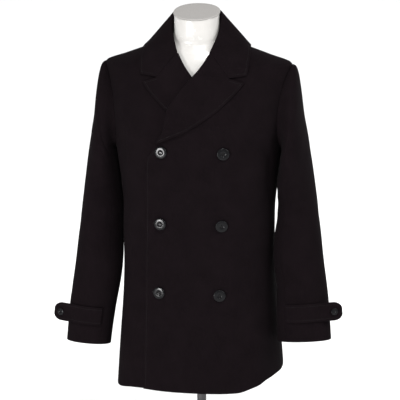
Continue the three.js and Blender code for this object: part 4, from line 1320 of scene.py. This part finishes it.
def build_stage():
    scene, studio = bpy.context.scene, bpy.context.scene.coat_studio
    mesh = bpy.data.meshes.new("floor")
    half = FLOOR_HALF
    mesh.from_pydata([(-half, -half, 0), (half, -half, 0), (half, half, 0), (-half, half, 0)], [], [(0, 1, 2, 3)])
    mesh.materials.append(look_of("floor_paper", pale_floor))
    floor = bpy.data.objects.new("floor", mesh)
    bpy.context.collection.objects.link(floor)
    world = bpy.data.worlds.new("studio")
    world.use_nodes = True
    sky = world.node_tree.nodes["Background"]
    sky.inputs["Color"].default_value = (1, 1, 1, 1)
    sky.inputs["Strength"].default_value = studio.room_light
    scene.world = world
    add_lamp("key_light", studio.key_light)
    add_lamp("window_box", studio.window_light)
    add_lamp("side_light", studio.side_light)
    scene.view_settings.view_transform = "Standard"
    lens = bpy.data.cameras.new("camera")
    lens.lens, lens.sensor_width = LENS, SENSOR
    camera = bpy.data.objects.new("camera", lens)
    bpy.context.collection.objects.link(camera)
    around, above = math.radians(CAMERA_AROUND), math.radians(CAMERA_ABOVE)
    back = Vector((math.sin(around) * math.cos(above), -math.cos(around) * math.cos(above), math.sin(above)))
    camera.location = Vector(CAMERA_AIM) + back * CAMERA_AWAY
    camera.rotation_mode = "QUATERNION"
    level = (-back).to_track_quat("-Z", "Y")
    camera.rotation_quaternion = level @ Quaternion((0, 0, 1), math.radians(CAMERA_ROLL))
    scene.camera = camera


# ---- the add-on

class CoatCloth(bpy.types.PropertyGroup):
    """The wool that the coat is cut from."""

    colour: FloatVectorProperty(
        name="Wool colour", description="Colour of the felted wool", subtype="COLOR", size=3,
        default=(0.0027, 0.0018, 0.0022), min=0, max=1,
    )
    fuzz: FloatProperty(
        name="Bloom", description="How much light the raised fibres catch at grazing angles",
        default=0.004, min=0, max=1,
    )


class CoatSewing(bpy.types.PropertyGroup):
    """Seams, top stitching and their thread."""

    colour: FloatVectorProperty(
        name="Thread colour", description="Colour of the sewing thread", subtype="COLOR", size=3,
        default=(0.003, 0.0024, 0.0027), min=0, max=1,
    )
    inset: FloatProperty(
        name="Stitching inset", description="Distance of the top stitching from a finished edge",
        default=0.006, min=0.002, max=0.02, unit="LENGTH",
    )
    pitch: FloatProperty(
        name="Stitch pitch", description="Distance from one stitch to the next", default=0.0044, min=0.002, max=0.02,
        unit="LENGTH",
    )
    length: FloatProperty(
        name="Stitch length", description="Length of thread that shows in one stitch", default=0.0034, min=0.001,
        max=0.018, unit="LENGTH",
    )
    radius: FloatProperty(
        name="Thread radius", description="Half the thickness of the thread", default=0.0003, min=0.0001, max=0.001,
        unit="LENGTH",
    )
    groove: FloatProperty(
        name="Seam rounding", description="How far the cloth rolls in beside a seam", default=0.0008, min=0.0001,
        max=0.003, unit="LENGTH",
    )


class CoatButtons(bpy.types.PropertyGroup):
    """The buttons of the front and the cuffs."""

    colour: FloatVectorProperty(
        name="Button colour", description="Colour of the polished buttons", subtype="COLOR", size=3,
        default=(0.002, 0.002, 0.0024), min=0, max=1,
    )


class DressForm(bpy.types.PropertyGroup):
    """The form that carries the coat."""

    colour: FloatVectorProperty(
        name="Shell colour", description="Colour of the glossy shell", subtype="COLOR", size=3,
        default=(0.3, 0.292, 0.28), min=0, max=1,
    )
    cap_colour: FloatVectorProperty(
        name="Cap colour", description="Colour of the cloth on the neck cap", subtype="COLOR", size=3,
        default=(0.185, 0.178, 0.17), min=0, max=1,
    )


class CoatStand(bpy.types.PropertyGroup):
    """Pole and base under the form."""

    colour: FloatVectorProperty(
        name="Metal colour", description="Colour of the painted metal", subtype="COLOR", size=3,
        default=(0.05, 0.048, 0.05), min=0, max=1,
    )


class CoatStudio(bpy.types.PropertyGroup):
    """Light round the coat."""

    key_light: FloatProperty(
        name="Key light", description="Power of the lamp above and in front", default=84, min=0, unit="POWER"
    )
    window_light: FloatProperty(
        name="Window light", description="Power of the small lamp that the buttons mirror", default=70, min=0,
        unit="POWER",
    )
    side_light: FloatProperty(
        name="Side light", description="Power of the broad lamp beside the coat", default=60, min=0, unit="POWER"
    )
    room_light: FloatProperty(
        name="Room light", description="Strength of the even white light all round", default=1.06, min=0
    )


class COAT_OT_form(bpy.types.Operator):
    """Builds the form's glossy shell and its neck cap"""

    bl_idname = "coat.form"
    bl_label = "Dress form"

    def execute(self, context):
        build_form()
        return {"FINISHED"}


class COAT_OT_stand(bpy.types.Operator):
    """Builds the pole and the round base"""

    bl_idname = "coat.stand"
    bl_label = "Stand"

    def execute(self, context):
        build_stand()
        return {"FINISHED"}


class COAT_OT_back(bpy.types.Operator):
    """Builds the back"""

    bl_idname = "coat.back"
    bl_label = "Back"

    def execute(self, context):
        build_back()
        return {"FINISHED"}


class COAT_OT_fronts(bpy.types.Operator):
    """Builds both fronts and the stitching of their edges"""

    bl_idname = "coat.fronts"
    bl_label = "Fronts"

    def execute(self, context):
        build_fronts()
        return {"FINISHED"}


class COAT_OT_lapels(bpy.types.Operator):
    """Builds both lapels with their roll and stitching"""

    bl_idname = "coat.lapels"
    bl_label = "Lapels"

    def execute(self, context):
        build_lapels()
        return {"FINISHED"}


class COAT_OT_collar(bpy.types.Operator):
    """Builds the collar's stand, fold and fall with its stitching"""

    bl_idname = "coat.collar"
    bl_label = "Collar"

    def execute(self, context):
        build_collar()
        return {"FINISHED"}


class COAT_OT_sleeves(bpy.types.Operator):
    """Builds the top and under sleeves"""

    bl_idname = "coat.sleeves"
    bl_label = "Sleeves"

    def execute(self, context):
        build_sleeves()
        return {"FINISHED"}


class COAT_OT_straps(bpy.types.Operator):
    """Builds the rounded cuff straps with their stitching"""

    bl_idname = "coat.straps"
    bl_label = "Cuff straps"

    def execute(self, context):
        build_straps()
        return {"FINISHED"}


class COAT_OT_buttons(bpy.types.Operator):
    """Builds the sewn buttons"""

    bl_idname = "coat.buttons"
    bl_label = "Buttons"

    def execute(self, context):
        build_buttons()
        return {"FINISHED"}


class COAT_OT_buttonholes(bpy.types.Operator):
    """Builds the worked buttonholes"""

    bl_idname = "coat.buttonholes"
    bl_label = "Buttonholes"

    def execute(self, context):
        build_buttonholes()
        return {"FINISHED"}


class COAT_OT_studio(bpy.types.Operator):
    """Builds the floor, the lamps and the camera"""

    bl_idname = "coat.studio"
    bl_label = "Stage"

    def execute(self, context):
        build_stage()
        return {"FINISHED"}


STEPS = (
    COAT_OT_form, COAT_OT_stand, COAT_OT_back, COAT_OT_fronts, COAT_OT_lapels, COAT_OT_collar, COAT_OT_sleeves,
    COAT_OT_straps, COAT_OT_buttons, COAT_OT_buttonholes, COAT_OT_studio,
)


class COAT_PT_panel(bpy.types.Panel):
    """Sizes, colours and steps of the coat."""

    bl_label = "Pea coat"
    bl_space_type = "VIEW_3D"
    bl_region_type = "UI"
    bl_category = "Pea coat"

    def draw(self, context):
        for name in GROUPS:
            box = self.layout.box()
            group = getattr(context.scene, name)
            for field in type(group).__annotations__:
                box.prop(group, field)
        for made in STEPS:
            self.layout.operator(made.bl_idname)


GROUPS = {
    "coat_cloth": CoatCloth, "coat_sewing": CoatSewing, "coat_buttons": CoatButtons, "dress_form": DressForm,
    "coat_stand": CoatStand, "coat_studio": CoatStudio,
}


def register():
    for group in (*GROUPS.values(), *STEPS, COAT_PT_panel):
        bpy.utils.register_class(group)
    for name, group in GROUPS.items():
        setattr(bpy.types.Scene, name, PointerProperty(type=group))


def unregister():
    for name in GROUPS:
        delattr(bpy.types.Scene, name)
    for group in reversed((*GROUPS.values(), *STEPS, COAT_PT_panel)):
        bpy.utils.unregister_class(group)


def main():
    register()
    coat = bpy.ops.coat
    coat.form()
    coat.stand()
    coat.back()
    coat.fronts()
    coat.lapels()
    coat.collar()
    coat.sleeves()
    coat.straps()
    coat.buttons()
    coat.buttonholes()
    coat.studio()


if __name__ == "__main__":
    main()
